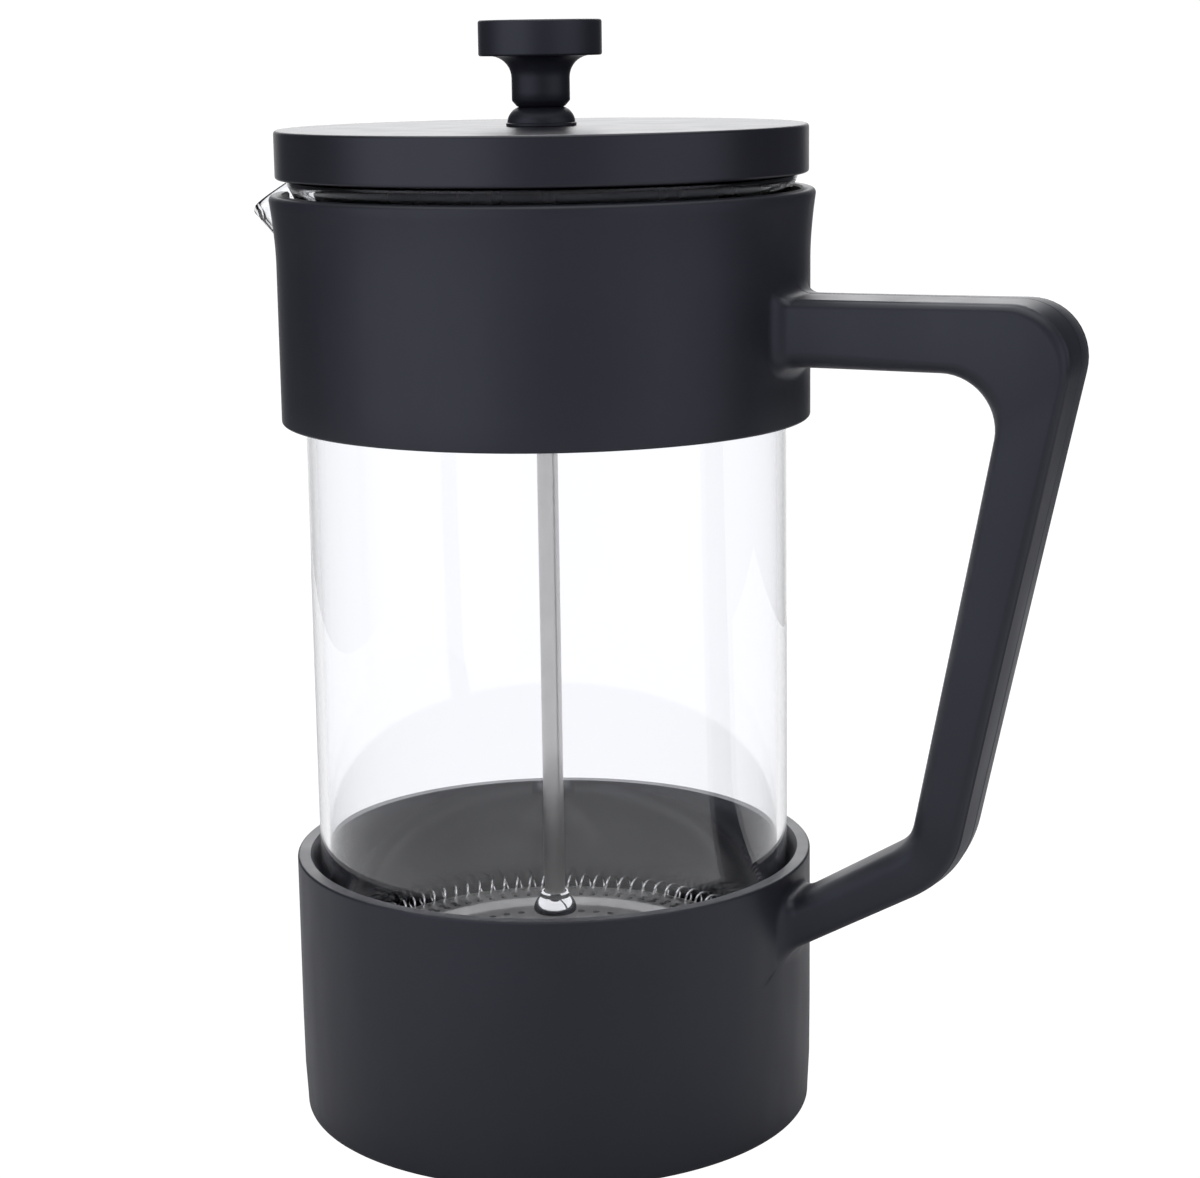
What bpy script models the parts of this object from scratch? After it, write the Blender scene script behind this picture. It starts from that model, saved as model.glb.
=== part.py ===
"""French press: a glass beaker in a one-piece plastic frame, with a turning lid and a plunger.

Metres, +Z up. The origin is on the beaker's axis at the underside of the base.
The handle points along +X and the beaker's pouring lip along -X.
Every round piece turns or slides on the Z axis, so every object's origin is on it.
"""

import math

import bmesh
import bpy
from mathutils import Matrix, Vector

MM = 0.001

# Driving dimensions
GAP = 0.3 * MM  # left between pieces that touch
GLASS_R = 50.0 * MM  # outer radius of the beaker's wall
GLASS_WALL = 2.0 * MM
GLASS_BOTTOM_Z = 6.0 * MM
GLASS_RIM_Z = 198.4 * MM
BAND_R = 54.9 * MM  # outer radius of the base cup and of the collar
BASE_RIM_Z = 56.2 * MM
COLLAR_BOTTOM_Z = 148.9 * MM
COLLAR_TOP_Z = 195.6 * MM
LID_R = 54.6 * MM
LID_BOTTOM_Z = GLASS_RIM_Z + GAP
LID_TOP_Z = 208.5 * MM
ROD_R = 2.2 * MM
BORE_R = ROD_R + GAP  # every hole that the rod passes through
KNOB_R = 12.6 * MM
KNOB_TOP_Z = 229.8 * MM
FILTER_Z = 32.5 * MM  # top face of the filter's flange with the plunger pressed down

# Base cup and collar of the frame
CUP_MOUTH_R = 51.9 * MM
CUP_INNER_R = GLASS_R + 0.6 * MM
CUP_FLOOR_Z = 3.4 * MM
FOOT_INNER_R = 49.5 * MM
FOOT_DEPTH = 1.2 * MM
FOOT_RIBS = 8
FOOT_HUB_R = 9.0 * MM
COLLAR_LIP_R = 56.0 * MM
COLLAR_MOUTH_R = 53.0 * MM

# Handle: outlines of its crown and of its inner side in the XZ plane, as corners with radii
HANDLE_OUTER = (((116.0, 176.4), 13.7), ((90.9, 61.3), 20.0))
HANDLE_INNER = (((100.9, 161.2), 11.2), ((82.5, 65.0), 5.0))
HANDLE_ROOTS_OUTER = ((52.7, 176.4), (52.7, 39.4))
HANDLE_ROOTS_INNER = ((52.7, 161.2), (52.7, 49.5))
HANDLE_HALF_WIDTHS = (10.0, 10.0, 8.6, 7.6, 7.6)  # upper root, bend, grip, lower bend, root
HANDLE_CROWN = 2.9 * MM
HANDLE_EDGE_R = 2.2 * MM
ROOT_FILLET = 4.5 * MM
ROOT_SHARES = (0.0, 0.2, 0.26, 0.36, 0.5, 0.7)  # shares of the first straight, past the wall

# Pouring lip of the beaker and the notch that it passes through
LIP_TIP_R = 67.0 * MM
LIP_START_Z = 170.0 * MM
LIP_DROP = 7.6 * MM
LIP_HALF_ANGLE = math.radians(16.5)
LIP_EASE = 0.15  # how gently the lip's slope starts out of the wall
RIM_FLARE = 2.2 * MM
NOTCH_R = 15.0 * MM
NOTCH_Z = 184.0 * MM

# Lid
LID_WALL = 2.2 * MM
LID_TOP_WALL = 2.6 * MM
SKIRT_R = 46.8 * MM
SKIRT_WALL = 1.8 * MM
SKIRT_BOTTOM_Z = 182.0 * MM
WEB_TOP_Z = LID_BOTTOM_Z + 2.0 * MM
BUSH_SLEEVE_R = 4.0 * MM
BUSH_DOME_R = 7.2 * MM
BUSH_TOP_Z = 212.1 * MM
SLOT_COUNT = 7
SLOT_PITCH = math.radians(6.0)
SLOT_WIDTH = 2.6 * MM
SLOT_ZS = (185.5 * MM, 195.5 * MM)

# Filter
PLATE_R = 45.2 * MM
PLATE_SHEET = 0.6 * MM
PLATE_STEP_R = 36.2 * MM
PLATE_STEP = 1.4 * MM
PLATE_BOSS_Z = 36.4 * MM
COIL_R = 2.3 * MM
COIL_CENTRE_R = GLASS_R - GLASS_WALL - GAP - COIL_R
COIL_CENTRE_Z = FILTER_Z + 0.8 * MM
FLANGE_HOLES = 24
FLANGE_HOLE_RING_R = 40.2 * MM
CENTRE_HOLES = 12
CENTRE_HOLE_RING_R = 30.0 * MM
HOLE_R = 0.9 * MM
MESH_SHEET = 0.4 * MM
SPOKES = 8

# Facets of the turned shapes
BAND_STEPS = 52
FILTER_STEPS = 40
SMALL_STEPS = 24
HANDLE_STEPS = 5


# ---- helpers -------------------------------------------------------------------------------


def clear_scene():
    for obj in list(bpy.data.objects):
        bpy.data.objects.remove(obj, do_unlink=True)


def new_collection(name):
    made = bpy.data.collections.new(name)
    bpy.context.scene.collection.children.link(made)
    return made


def finish(name, colour, roughness, metallic=0.0, alpha=1.0):
    """A Principled material."""
    made = bpy.data.materials.new(name)
    made.use_nodes = True
    shader = made.node_tree.nodes["Principled BSDF"]
    shader.inputs["Base Color"].default_value = (*colour, 1.0)
    shader.inputs["Roughness"].default_value = roughness
    shader.inputs["Metallic"].default_value = metallic
    shader.inputs["Alpha"].default_value = alpha
    return made


def add_mesh(name, mesh, collection, material=None):
    obj = bpy.data.objects.new(name, mesh)
    collection.objects.link(obj)
    if material is not None:
        mesh.materials.append(material)
    mesh.shade_smooth()
    mesh.set_sharp_from_angle(angle=math.radians(30))
    return obj


def arc(centre, radius, start, end, steps=4):
    """Points (r, z) on an arc, with angles in degrees from +r towards +z."""
    points = []
    for i in range(steps + 1):
        angle = math.radians(start + (end - start) * i / steps)
        points.append((centre[0] + radius * math.cos(angle), centre[1] + radius * math.sin(angle)))
    return points


def turned(name, profile, steps, collection, material=None):
    """A closed profile of (r, z) points screwed round Z. It runs down the outer side first."""
    mesh = bpy.data.meshes.new(name)
    edges = [(i, (i + 1) % len(profile)) for i in range(len(profile))]
    mesh.from_pydata([(r, 0.0, z) for r, z in profile], edges, [])
    obj = add_mesh(name, mesh, collection, material)
    screw = obj.modifiers.new("turn", "SCREW")
    screw.axis = "Z"
    screw.steps = steps
    screw.render_steps = steps
    screw.use_merge_vertices = True
    screw.merge_threshold = 0.00001
    screw.use_smooth_shade = True
    return obj


def as_tool(obj):
    """Marks an object as a helper for Booleans, which isn't a part."""
    obj.hide_render = True
    obj.display_type = "WIRE"
    return obj


def combine(obj, tool, operation):
    boolean = obj.modifiers.new(f"{operation.lower()} {tool.name}", "BOOLEAN")
    boolean.operation = operation
    boolean.object = as_tool(tool)
    boolean.solver = "EXACT"


def box(name, low, high, collection):
    mesh = bpy.data.meshes.new(name)
    shape = bmesh.new()
    bmesh.ops.create_cube(shape, size=1.0)
    size = Vector(high) - Vector(low)
    centre = (Vector(high) + Vector(low)) / 2
    bmesh.ops.transform(
        shape,
        matrix=Matrix.Translation(centre) @ Matrix.Diagonal((*size, 1.0)),
        verts=shape.verts,
    )
    shape.to_mesh(mesh)
    shape.free()
    return add_mesh(name, mesh, collection)


def cylinders(name, places, radius, depth, sides, collection):
    """Closed cylinders, one for each 4x4 matrix in places, in a single helper mesh."""
    mesh = bpy.data.meshes.new(name)
    shape = bmesh.new()
    for place in places:
        bmesh.ops.create_cone(
            shape,
            cap_ends=True,
            segments=sides,
            radius1=radius,
            radius2=radius,
            depth=depth,
            matrix=place,
        )
    shape.to_mesh(mesh)
    shape.free()
    return add_mesh(name, mesh, collection)


def ring_places(count, radius, z, offset=0.0):
    """Upright places spaced evenly round the Z axis."""
    places = []
    for i in range(count):
        turn = Matrix.Rotation(2 * math.pi * (i + offset) / count, 4, "Z")
        places.append(turn @ Matrix.Translation((radius, 0.0, z)))
    return places


def loft(name, rings, collection, material=None):
    """A closed body through rings of points, which all have the same count."""
    mesh = bpy.data.meshes.new(name)
    shape = bmesh.new()
    rows = [[shape.verts.new(point) for point in ring] for ring in rings]
    for first, second in zip(rows, rows[1:]):
        for i in range(len(first)):
            j = (i + 1) % len(first)
            shape.faces.new((first[i], first[j], second[j], second[i]))
    shape.faces.new(list(reversed(rows[0])))
    shape.faces.new(rows[-1])
    bmesh.ops.recalc_face_normals(shape, faces=shape.faces)
    shape.to_mesh(mesh)
    shape.free()
    return add_mesh(name, mesh, collection, material)


# ---- frame ---------------------------------------------------------------------------------


def rounded_path(start, corners, end, steps):
    """Points from start to end in equal shares of each straight and of each corner's arc."""
    nodes = [Vector(start)] + [Vector(point) for point, _ in corners] + [Vector(end)]
    points = [nodes[0]]
    for i, (_, radius) in enumerate(corners):
        corner = nodes[i + 1]
        back = (nodes[i] - corner).normalized()
        ahead = (nodes[i + 2] - corner).normalized()
        half = back.angle(ahead) / 2
        centre = corner + (back + ahead).normalized() * radius / math.sin(half)
        arc_start = corner + back * radius / math.tan(half)
        arc_end = corner + ahead * radius / math.tan(half)
        spoke = arc_start - centre
        sweep = spoke.angle_signed(arc_end - centre)
        points += [points[-1].lerp(arc_start, k / steps) for k in range(1, steps + 1)]
        for k in range(1, steps + 1):
            turn = Matrix.Rotation(-sweep * k / steps, 2)
            points.append(centre + turn @ spoke)
    points += [points[-1].lerp(nodes[-1], k / steps) for k in range(1, steps + 1)]
    return points


def handle_section(half_depth, half_width):
    """Outline (outwards, sideways): flat sides, a crowned outer face and a rounded inner face."""
    shoulder = half_depth - HANDLE_CROWN
    sides = [1 - i / 4 for i in range(9)]
    crown = [(shoulder + HANDLE_CROWN * (1 - side**2), side * half_width) for side in sides]
    edge_out = -half_depth + HANDLE_EDGE_R
    edge_side = half_width - HANDLE_EDGE_R
    left_edge = arc((edge_out, -edge_side), HANDLE_EDGE_R, 270, 180, 3)
    right_edge = arc((edge_out, edge_side), HANDLE_EDGE_R, 180, 90, 3)
    return crown + left_edge + right_edge


def width_at(share):
    """Half the handle's width at a share of its length from the upper root to the lower one."""
    place = share * (len(HANDLE_HALF_WIDTHS) - 1)
    i = min(int(place), len(HANDLE_HALF_WIDTHS) - 2)
    first, second = HANDLE_HALF_WIDTHS[i], HANDLE_HALF_WIDTHS[i + 1]
    return (first + (second - first) * (place - i)) * MM


def root_flare(distance):
    """How much the section grows on each side where it meets the wall, as a round fillet."""
    reach = min(max(distance, 0.0), ROOT_FILLET)
    return ROOT_FILLET - math.sqrt(ROOT_FILLET**2 - (ROOT_FILLET - reach) ** 2)


def handle_stations():
    """Pairs of points on the crown and on the inner side, closer together at both roots."""
    outer = rounded_path(HANDLE_ROOTS_OUTER[0], HANDLE_OUTER, HANDLE_ROOTS_OUTER[1], HANDLE_STEPS)
    inner = rounded_path(HANDLE_ROOTS_INNER[0], HANDLE_INNER, HANDLE_ROOTS_INNER[1], HANDLE_STEPS)
    pairs = [(far * MM, near * MM) for far, near in zip(outer, inner)]
    first, last = pairs[:2], pairs[:-3:-1]
    upper_root = [between(first, share) for share in ROOT_SHARES]
    lower_root = [between(last, share) for share in reversed(ROOT_SHARES)]
    return upper_root + pairs[1:-1] + lower_root


def between(pairs, share):
    """The pair of points at a share of the way from the first pair to the second."""
    (far, near), (next_far, next_near) = pairs
    return far.lerp(next_far, share), near.lerp(next_near, share)


def handle_rings():
    stations = handle_stations()
    rings = []
    for i, (far, near) in enumerate(stations):
        middle = (far + near) / 2
        outwards = (far - near).normalized()
        flare = root_flare(middle.x - BAND_R)
        half_depth = (far - near).length / 2 + flare
        half_width = width_at(i / (len(stations) - 1)) + flare
        wrap = min(1.0, max(0.0, 1 - (middle.x - BAND_R) / (3 * ROOT_FILLET)))
        ring = []
        for out, side in handle_section(half_depth, half_width):
            place = middle + outwards * out
            sink = wrap * (BAND_R - math.sqrt(BAND_R**2 - side**2))
            ring.append((place.x - sink, side, place.y))
        rings.append(ring)
    return rings


def cup_profile():
    """Base cup with a foot ring and a shallow recess underneath."""
    outer = [(BAND_R - 0.6 * MM, BASE_RIM_Z), (BAND_R, BASE_RIM_Z - 0.6 * MM)]
    outer += [(BAND_R, 9.0 * MM), (BAND_R - 0.4 * MM, 2.0 * MM), (BAND_R - 1.8 * MM, 0.0)]
    foot = [(FOOT_INNER_R, 0.0), (FOOT_INNER_R - 0.6 * MM, FOOT_DEPTH)]
    hub = [(FOOT_HUB_R + 0.6 * MM, FOOT_DEPTH), (FOOT_HUB_R, 0.0), (0.0, 0.0)]
    floor = [(0.0, CUP_FLOOR_Z), (CUP_INNER_R - 2.0 * MM, CUP_FLOOR_Z)]
    wall = [(CUP_INNER_R, CUP_FLOOR_Z + 2.0 * MM), (CUP_INNER_R, 30.0 * MM)]
    return outer + foot + hub + floor + wall + [(CUP_MOUTH_R, BASE_RIM_Z)]


def collar_profile():
    """Collar band that flares to a rounded lip at its top."""
    lip_z = COLLAR_TOP_Z - 1.8 * MM
    outer = [(COLLAR_MOUTH_R, COLLAR_TOP_Z), (COLLAR_LIP_R - 1.3 * MM, COLLAR_TOP_Z)]
    outer += arc((COLLAR_LIP_R - 1.3 * MM, lip_z + 0.5 * MM), 1.3 * MM, 68, 0, 3)
    outer += [(COLLAR_LIP_R - 0.5 * MM, 188.5 * MM), (BAND_R + 0.1 * MM, 182.0 * MM)]
    outer += [(BAND_R, 165.0 * MM), (BAND_R, COLLAR_BOTTOM_Z + 0.4 * MM)]
    inner = [(BAND_R - 0.4 * MM, COLLAR_BOTTOM_Z), (CUP_INNER_R, COLLAR_BOTTOM_Z)]
    return outer + inner + [(CUP_INNER_R, 186.5 * MM), (COLLAR_MOUTH_R, 192.5 * MM)]


def foot_ribs(collection):
    """Ribs across the recess, in pairs that cross at the middle."""
    ribs = []
    for i in range(FOOT_RIBS // 2):
        length, half = FOOT_INNER_R + 0.5 * MM, 0.9 * MM
        low, high = (-length, -half, 0.2 * MM), (length, half, FOOT_DEPTH + 0.8 * MM)
        rib = box(f"foot_rib_{i}", low, high, collection)
        rib.rotation_euler.z = 2 * math.pi * (i + 0.5) / FOOT_RIBS
        ribs.append(rib)
    return ribs


def make_frame(parts, tools, plastic):
    frame = turned("frame", cup_profile(), BAND_STEPS, parts, plastic)
    for rib in foot_ribs(tools):
        combine(frame, rib, "UNION")
    combine(frame, loft("handle_bow", handle_rings(), tools), "UNION")
    combine(frame, turned("collar_band", collar_profile(), BAND_STEPS, tools), "UNION")
    across = Matrix.Translation((-BAND_R, 0.0, NOTCH_Z)) @ Matrix.Rotation(math.pi / 2, 4, "Y")
    round_part = cylinders("notch_round", [across], NOTCH_R, 16 * MM, 24, tools)
    low = (-BAND_R - 8 * MM, -NOTCH_R, NOTCH_Z)
    high = (-BAND_R + 8 * MM, NOTCH_R, COLLAR_TOP_Z + 4 * MM)
    combine(frame, round_part, "DIFFERENCE")
    combine(frame, box("notch_mouth", low, high, tools), "DIFFERENCE")


def make_cushion(parts, silicone):
    """Soft ring in the cup that the glass stands on."""
    low, high = CUP_FLOOR_Z + GAP, GLASS_BOTTOM_Z - GAP
    inner, outer = 30.0 * MM, 44.0 * MM
    profile = [(outer, high), (outer, low), (inner, low), (inner, high)]
    turned("beaker_cushion", profile, FILTER_STEPS, parts, silicone)


# ---- beaker --------------------------------------------------------------------------------


def lip_share(angle):
    """1 in the middle of the pouring lip, falling to 0 at its two sides."""
    if abs(angle) > LIP_HALF_ANGLE:
        return 0.0
    return math.cos(math.pi / 2 * angle / LIP_HALF_ANGLE) ** 2


def beaker_angles():
    """Angles from the lip, close together across it and wider elsewhere."""
    fine, coarse = 14, 42
    edge = LIP_HALF_ANGLE
    angles = [-edge + 2 * edge * i / fine for i in range(fine)]
    rest = 2 * math.pi - 2 * edge
    return angles + [edge + rest * i / coarse for i in range(coarse)]


def beaker_point(angle, height_share, inset):
    """A point of the wall's upper zone; inset is how far inside the outer surface it lies."""
    lip = lip_share(math.remainder(angle, 2 * math.pi))
    top = GLASS_RIM_Z - LIP_DROP * lip
    z = LIP_START_Z + (top - LIP_START_Z) * height_share
    flare = RIM_FLARE * (1 - lip) * max(0.0, (height_share - 0.75) / 0.25) ** 2
    slope = (math.hypot(height_share, LIP_EASE) - LIP_EASE) / (math.hypot(1.0, LIP_EASE) - LIP_EASE)
    reach = (LIP_TIP_R - GLASS_R) * lip * slope
    return GLASS_R + flare + reach - inset, z


def make_beaker(parts, glass):
    corner = 5.0 * MM
    base = arc((GLASS_R - corner, GLASS_BOTTOM_Z + corner), corner, -90, 0, 3)
    inner_corner = corner - GLASS_WALL
    floor_z = GLASS_BOTTOM_Z + GLASS_WALL + 0.6 * MM
    inside = arc((GLASS_R - corner, floor_z + inner_corner), inner_corner, 0, -90, 2)
    shares = (0.0, 0.25, 0.5, 0.7, 0.85, 0.95, 1.0)
    rows = []
    for angle in beaker_angles():
        outer_wall = [beaker_point(angle, share, 0.0) for share in shares]
        inner_wall = [beaker_point(angle, share, GLASS_WALL) for share in reversed(shares)]
        rows.append((angle, base + outer_wall + inner_wall + inside))
    mesh = bpy.data.meshes.new("beaker")
    shape = bmesh.new()
    columns = []
    for angle, outline in rows:
        direction = (-math.cos(angle), -math.sin(angle))
        columns.append([shape.verts.new((r * direction[0], r * direction[1], z)) for r, z in outline])
    for first, second in zip(columns, columns[1:] + columns[:1]):
        for i in range(len(first) - 1):
            shape.faces.new((first[i], first[i + 1], second[i + 1], second[i]))
    shape.faces.new([column[0] for column in columns])
    shape.faces.new([column[-1] for column in columns])
    bmesh.ops.recalc_face_normals(shape, faces=shape.faces)
    shape.to_mesh(mesh)
    shape.free()
    add_mesh("beaker", mesh, parts, glass)


# ---- lid -----------------------------------------------------------------------------------


def make_lid_cover(parts, plastic):
    inside_z = LID_TOP_Z - LID_TOP_WALL
    hole = BUSH_SLEEVE_R + GAP
    outer = [(hole, LID_TOP_Z), (LID_R - 0.5 * MM, LID_TOP_Z), (LID_R, LID_TOP_Z - 0.5 * MM)]
    outer += [(LID_R, LID_BOTTOM_Z + 0.3 * MM), (LID_R - 0.3 * MM, LID_BOTTOM_Z)]
    inner = [(LID_R - LID_WALL, LID_BOTTOM_Z), (LID_R - LID_WALL, inside_z), (hole, inside_z)]
    turned("lid_cover", outer + inner, BAND_STEPS, parts, plastic)


def make_lid_insert(parts, tools, plastic):
    """Flange on the beaker's rim, a skirt inside the glass and a boss up to the cover."""
    hole = BUSH_SLEEVE_R + GAP
    boss_z = LID_TOP_Z - LID_TOP_WALL - GAP
    boss_r = 10.0 * MM
    flange_r = LID_R - LID_WALL - GAP
    top = [(hole, boss_z), (boss_r, boss_z), (boss_r, WEB_TOP_Z), (flange_r, WEB_TOP_Z)]
    under = [(flange_r, LID_BOTTOM_Z), (SKIRT_R, LID_BOTTOM_Z)]
    skirt = [(SKIRT_R - 0.3 * MM, SKIRT_BOTTOM_Z), (SKIRT_R - SKIRT_WALL, SKIRT_BOTTOM_Z)]
    back = [(SKIRT_R - SKIRT_WALL, LID_BOTTOM_Z), (hole, LID_BOTTOM_Z)]
    insert = turned("lid_insert", top + under + skirt + back, BAND_STEPS, parts, plastic)
    shape = bmesh.new()
    for i in range(SLOT_COUNT):
        turn = Matrix.Rotation(math.pi + SLOT_PITCH * (i - (SLOT_COUNT - 1) / 2), 4, "Z")
        middle = Matrix.Translation((SKIRT_R - SKIRT_WALL / 2, 0.0, sum(SLOT_ZS) / 2))
        size = Matrix.Diagonal((3 * SKIRT_WALL, SLOT_WIDTH, SLOT_ZS[1] - SLOT_ZS[0], 1.0))
        bmesh.ops.create_cube(shape, size=1.0, matrix=turn @ middle @ size)
    mesh = bpy.data.meshes.new("pouring_slots")
    shape.to_mesh(mesh)
    shape.free()
    combine(insert, add_mesh("pouring_slots", mesh, tools), "DIFFERENCE")


def make_guide_bush(parts, plastic):
    """Domed boss on the lid with a sleeve that the rod runs through."""
    foot_z = LID_TOP_Z + GAP
    sleeve_z = LID_BOTTOM_Z - 5.5 * MM
    dome = [(BORE_R, BUSH_TOP_Z), (BUSH_DOME_R - 1.9 * MM, BUSH_TOP_Z)]
    dome += [(BUSH_DOME_R - 0.9 * MM, foot_z + 1.9 * MM), (BUSH_DOME_R - 0.2 * MM, foot_z + 0.7 * MM)]
    sleeve = [(BUSH_DOME_R, foot_z), (BUSH_SLEEVE_R, foot_z), (BUSH_SLEEVE_R, sleeve_z)]
    turned("guide_bush", dome + sleeve + [(BORE_R, sleeve_z)], SMALL_STEPS, parts, plastic)
    nut_top = LID_BOTTOM_Z - GAP
    nut = [(8.5 * MM, nut_top), (8.5 * MM, nut_top - 2.6 * MM), (7.0 * MM, nut_top - 4.2 * MM)]
    nut += [(BUSH_SLEEVE_R + GAP, nut_top - 4.2 * MM), (BUSH_SLEEVE_R + GAP, nut_top)]
    turned("bush_nut", nut, SMALL_STEPS, parts, plastic)


# ---- plunger -------------------------------------------------------------------------------


def make_knob(parts, plastic, steel):
    neck_r, foot_z = 5.95 * MM, BUSH_TOP_Z + GAP
    under_z = KNOB_TOP_Z - 7.2 * MM
    blend = 4.4 * MM
    insert_r = 3.6 * MM
    disc = [(0.0, KNOB_TOP_Z), (KNOB_R - 0.5 * MM, KNOB_TOP_Z), (KNOB_R, KNOB_TOP_Z - 0.5 * MM)]
    disc += [(KNOB_R, under_z + 0.4 * MM), (KNOB_R - 0.4 * MM, under_z)]
    waist = arc((neck_r + blend, under_z - blend), blend, 90, 180, 4)
    foot = [(neck_r, foot_z + 1.0 * MM), (neck_r - 1.2 * MM, foot_z), (insert_r + GAP, foot_z)]
    bore_top = under_z - 1.0 * MM
    profile = disc + waist + foot + [(insert_r + GAP, bore_top), (0.0, bore_top)]
    turned("knob", profile, SMALL_STEPS + 8, parts, plastic)
    low, high = foot_z + 0.3 * MM, bore_top - GAP
    sleeve = [(insert_r, high), (insert_r, low), (BORE_R, low), (BORE_R, high)]
    turned("knob_insert", sleeve, SMALL_STEPS, parts, steel)


def make_rod(parts, steel):
    top_z, foot_z = KNOB_TOP_Z - 9.0 * MM, FILTER_Z - 8.0 * MM
    point = 0.5 * MM
    profile = [(0.0, top_z), (ROD_R - point, top_z), (ROD_R, top_z - point)]
    profile += [(ROD_R, foot_z + point), (ROD_R - point, foot_z), (0.0, foot_z)]
    turned("plunger_rod", profile, SMALL_STEPS - 8, parts, steel)


def make_ball_nut(parts, steel):
    """Round nut at the rod's foot that presses on the filter's boss."""
    ball_r, foot_z = 4.75 * MM, PLATE_BOSS_Z + GAP
    centre_z = foot_z + 4.4 * MM
    top = [(BORE_R, centre_z + 4.6 * MM), (3.1 * MM, centre_z + 4.6 * MM)]
    ball = arc((0.0, centre_z), ball_r, 48, -44, 8)
    foot = [(3.4 * MM, foot_z), (BORE_R, foot_z)]
    turned("ball_nut", top + ball + foot, SMALL_STEPS, parts, steel)


def plate_face(offset):
    """Radius and height along the filter plate: boss, cone, centre and flange."""
    centre_z = FILTER_Z - PLATE_STEP
    line = [(BORE_R, PLATE_BOSS_Z), (6.5 * MM, PLATE_BOSS_Z), (10.5 * MM, centre_z)]
    line += [(PLATE_STEP_R - 0.9 * MM, centre_z), (PLATE_STEP_R + 0.9 * MM, FILTER_Z)]
    return [(r, z + offset) for r, z in line]


def make_spiral_plate(parts, tools, steel):
    top = plate_face(0.0) + [(PLATE_R, FILTER_Z)]
    under = plate_face(-PLATE_SHEET) + [(PLATE_R, FILTER_Z - PLATE_SHEET)]
    plate = turned("spiral_plate", top + under[::-1], FILTER_STEPS, parts, steel)
    places = ring_places(FLANGE_HOLES, FLANGE_HOLE_RING_R, FILTER_Z)
    places += ring_places(CENTRE_HOLES, CENTRE_HOLE_RING_R, FILTER_Z - PLATE_STEP, 0.5)
    holes = cylinders("plate_holes", places, HOLE_R, 3 * PLATE_SHEET, 6, tools)
    combine(plate, holes, "DIFFERENCE")


def make_spring_coil(parts, steel):
    """Outer shape of the spring that is laced round the plate, with a slot for its edge."""
    slot_top, slot_bottom = FILTER_Z + GAP, FILTER_Z - PLATE_SHEET - GAP
    slot_end = PLATE_R + GAP
    low = math.degrees(math.asin((slot_bottom - COIL_CENTRE_Z) / COIL_R))
    high = math.degrees(math.asin((slot_top - COIL_CENTRE_Z) / COIL_R))
    outline = arc((COIL_CENTRE_R, COIL_CENTRE_Z), COIL_R, 180 - high, -180 - low, 8)
    profile = outline + [(slot_end, slot_bottom), (slot_end, slot_top)]
    turned("spring_coil", profile, FILTER_STEPS, parts, steel)


def make_mesh_screen(parts, steel):
    """Woven screen that follows the underside of the plate."""
    top_z = FILTER_Z - PLATE_SHEET - GAP
    centre_top = top_z - PLATE_STEP
    radius = PLATE_R - 1.8 * MM
    step_r = PLATE_STEP_R
    line = [(BORE_R, centre_top), (step_r, centre_top), (step_r + 1.8 * MM, top_z), (radius, top_z)]
    under = [(r, z - MESH_SHEET) for r, z in reversed(line)]
    turned("mesh_screen", line + under, FILTER_STEPS, parts, steel)


def make_cross_plate(parts, tools, steel):
    """Spoked plate that clamps the screen from below."""
    top_z = FILTER_Z - PLATE_SHEET - GAP - PLATE_STEP - MESH_SHEET - GAP
    low_z = top_z - 0.8 * MM
    rim_r, rim_width, hub_r, spoke = 40.5 * MM, 4.0 * MM, 10.0 * MM, 5.0 * MM
    inside_r = rim_r - rim_width
    rim = [(rim_r, top_z), (rim_r, low_z), (inside_r, low_z), (inside_r, top_z)]
    plate = turned("cross_plate", rim, FILTER_STEPS, parts, steel)
    middle = Matrix.Translation((0.0, 0.0, (top_z + low_z) / 2))
    hub = cylinders("cross_hub", [middle], hub_r, top_z - low_z, SMALL_STEPS, tools)
    for i in range(SPOKES // 2):
        reach = rim_r - rim_width / 2
        low, high = (-reach, -spoke / 2, low_z), (reach, spoke / 2, top_z)
        bar = box(f"spoke_{i}", low, high, tools)
        bar.rotation_euler.z = math.pi * i / (SPOKES // 2)
        combine(plate, bar, "UNION")
    combine(plate, hub, "UNION")
    hole = cylinders("cross_hole", [middle], BORE_R, 4 * MM, SMALL_STEPS, tools)
    combine(plate, hole, "DIFFERENCE")
    nut_top = low_z - GAP
    nut_r, flange_r, foot_z = 4.8 * MM, 7.0 * MM, nut_top - 4.6 * MM
    flange = [(flange_r, nut_top), (flange_r, nut_top - 1.0 * MM), (nut_r, nut_top - 1.4 * MM)]
    body = [(nut_r, foot_z + 0.4 * MM), (nut_r - 0.4 * MM, foot_z), (BORE_R, foot_z)]
    turned("hub_nut", flange + body + [(BORE_R, nut_top)], SMALL_STEPS, parts, steel)


# ---- assembly ------------------------------------------------------------------------------


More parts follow.
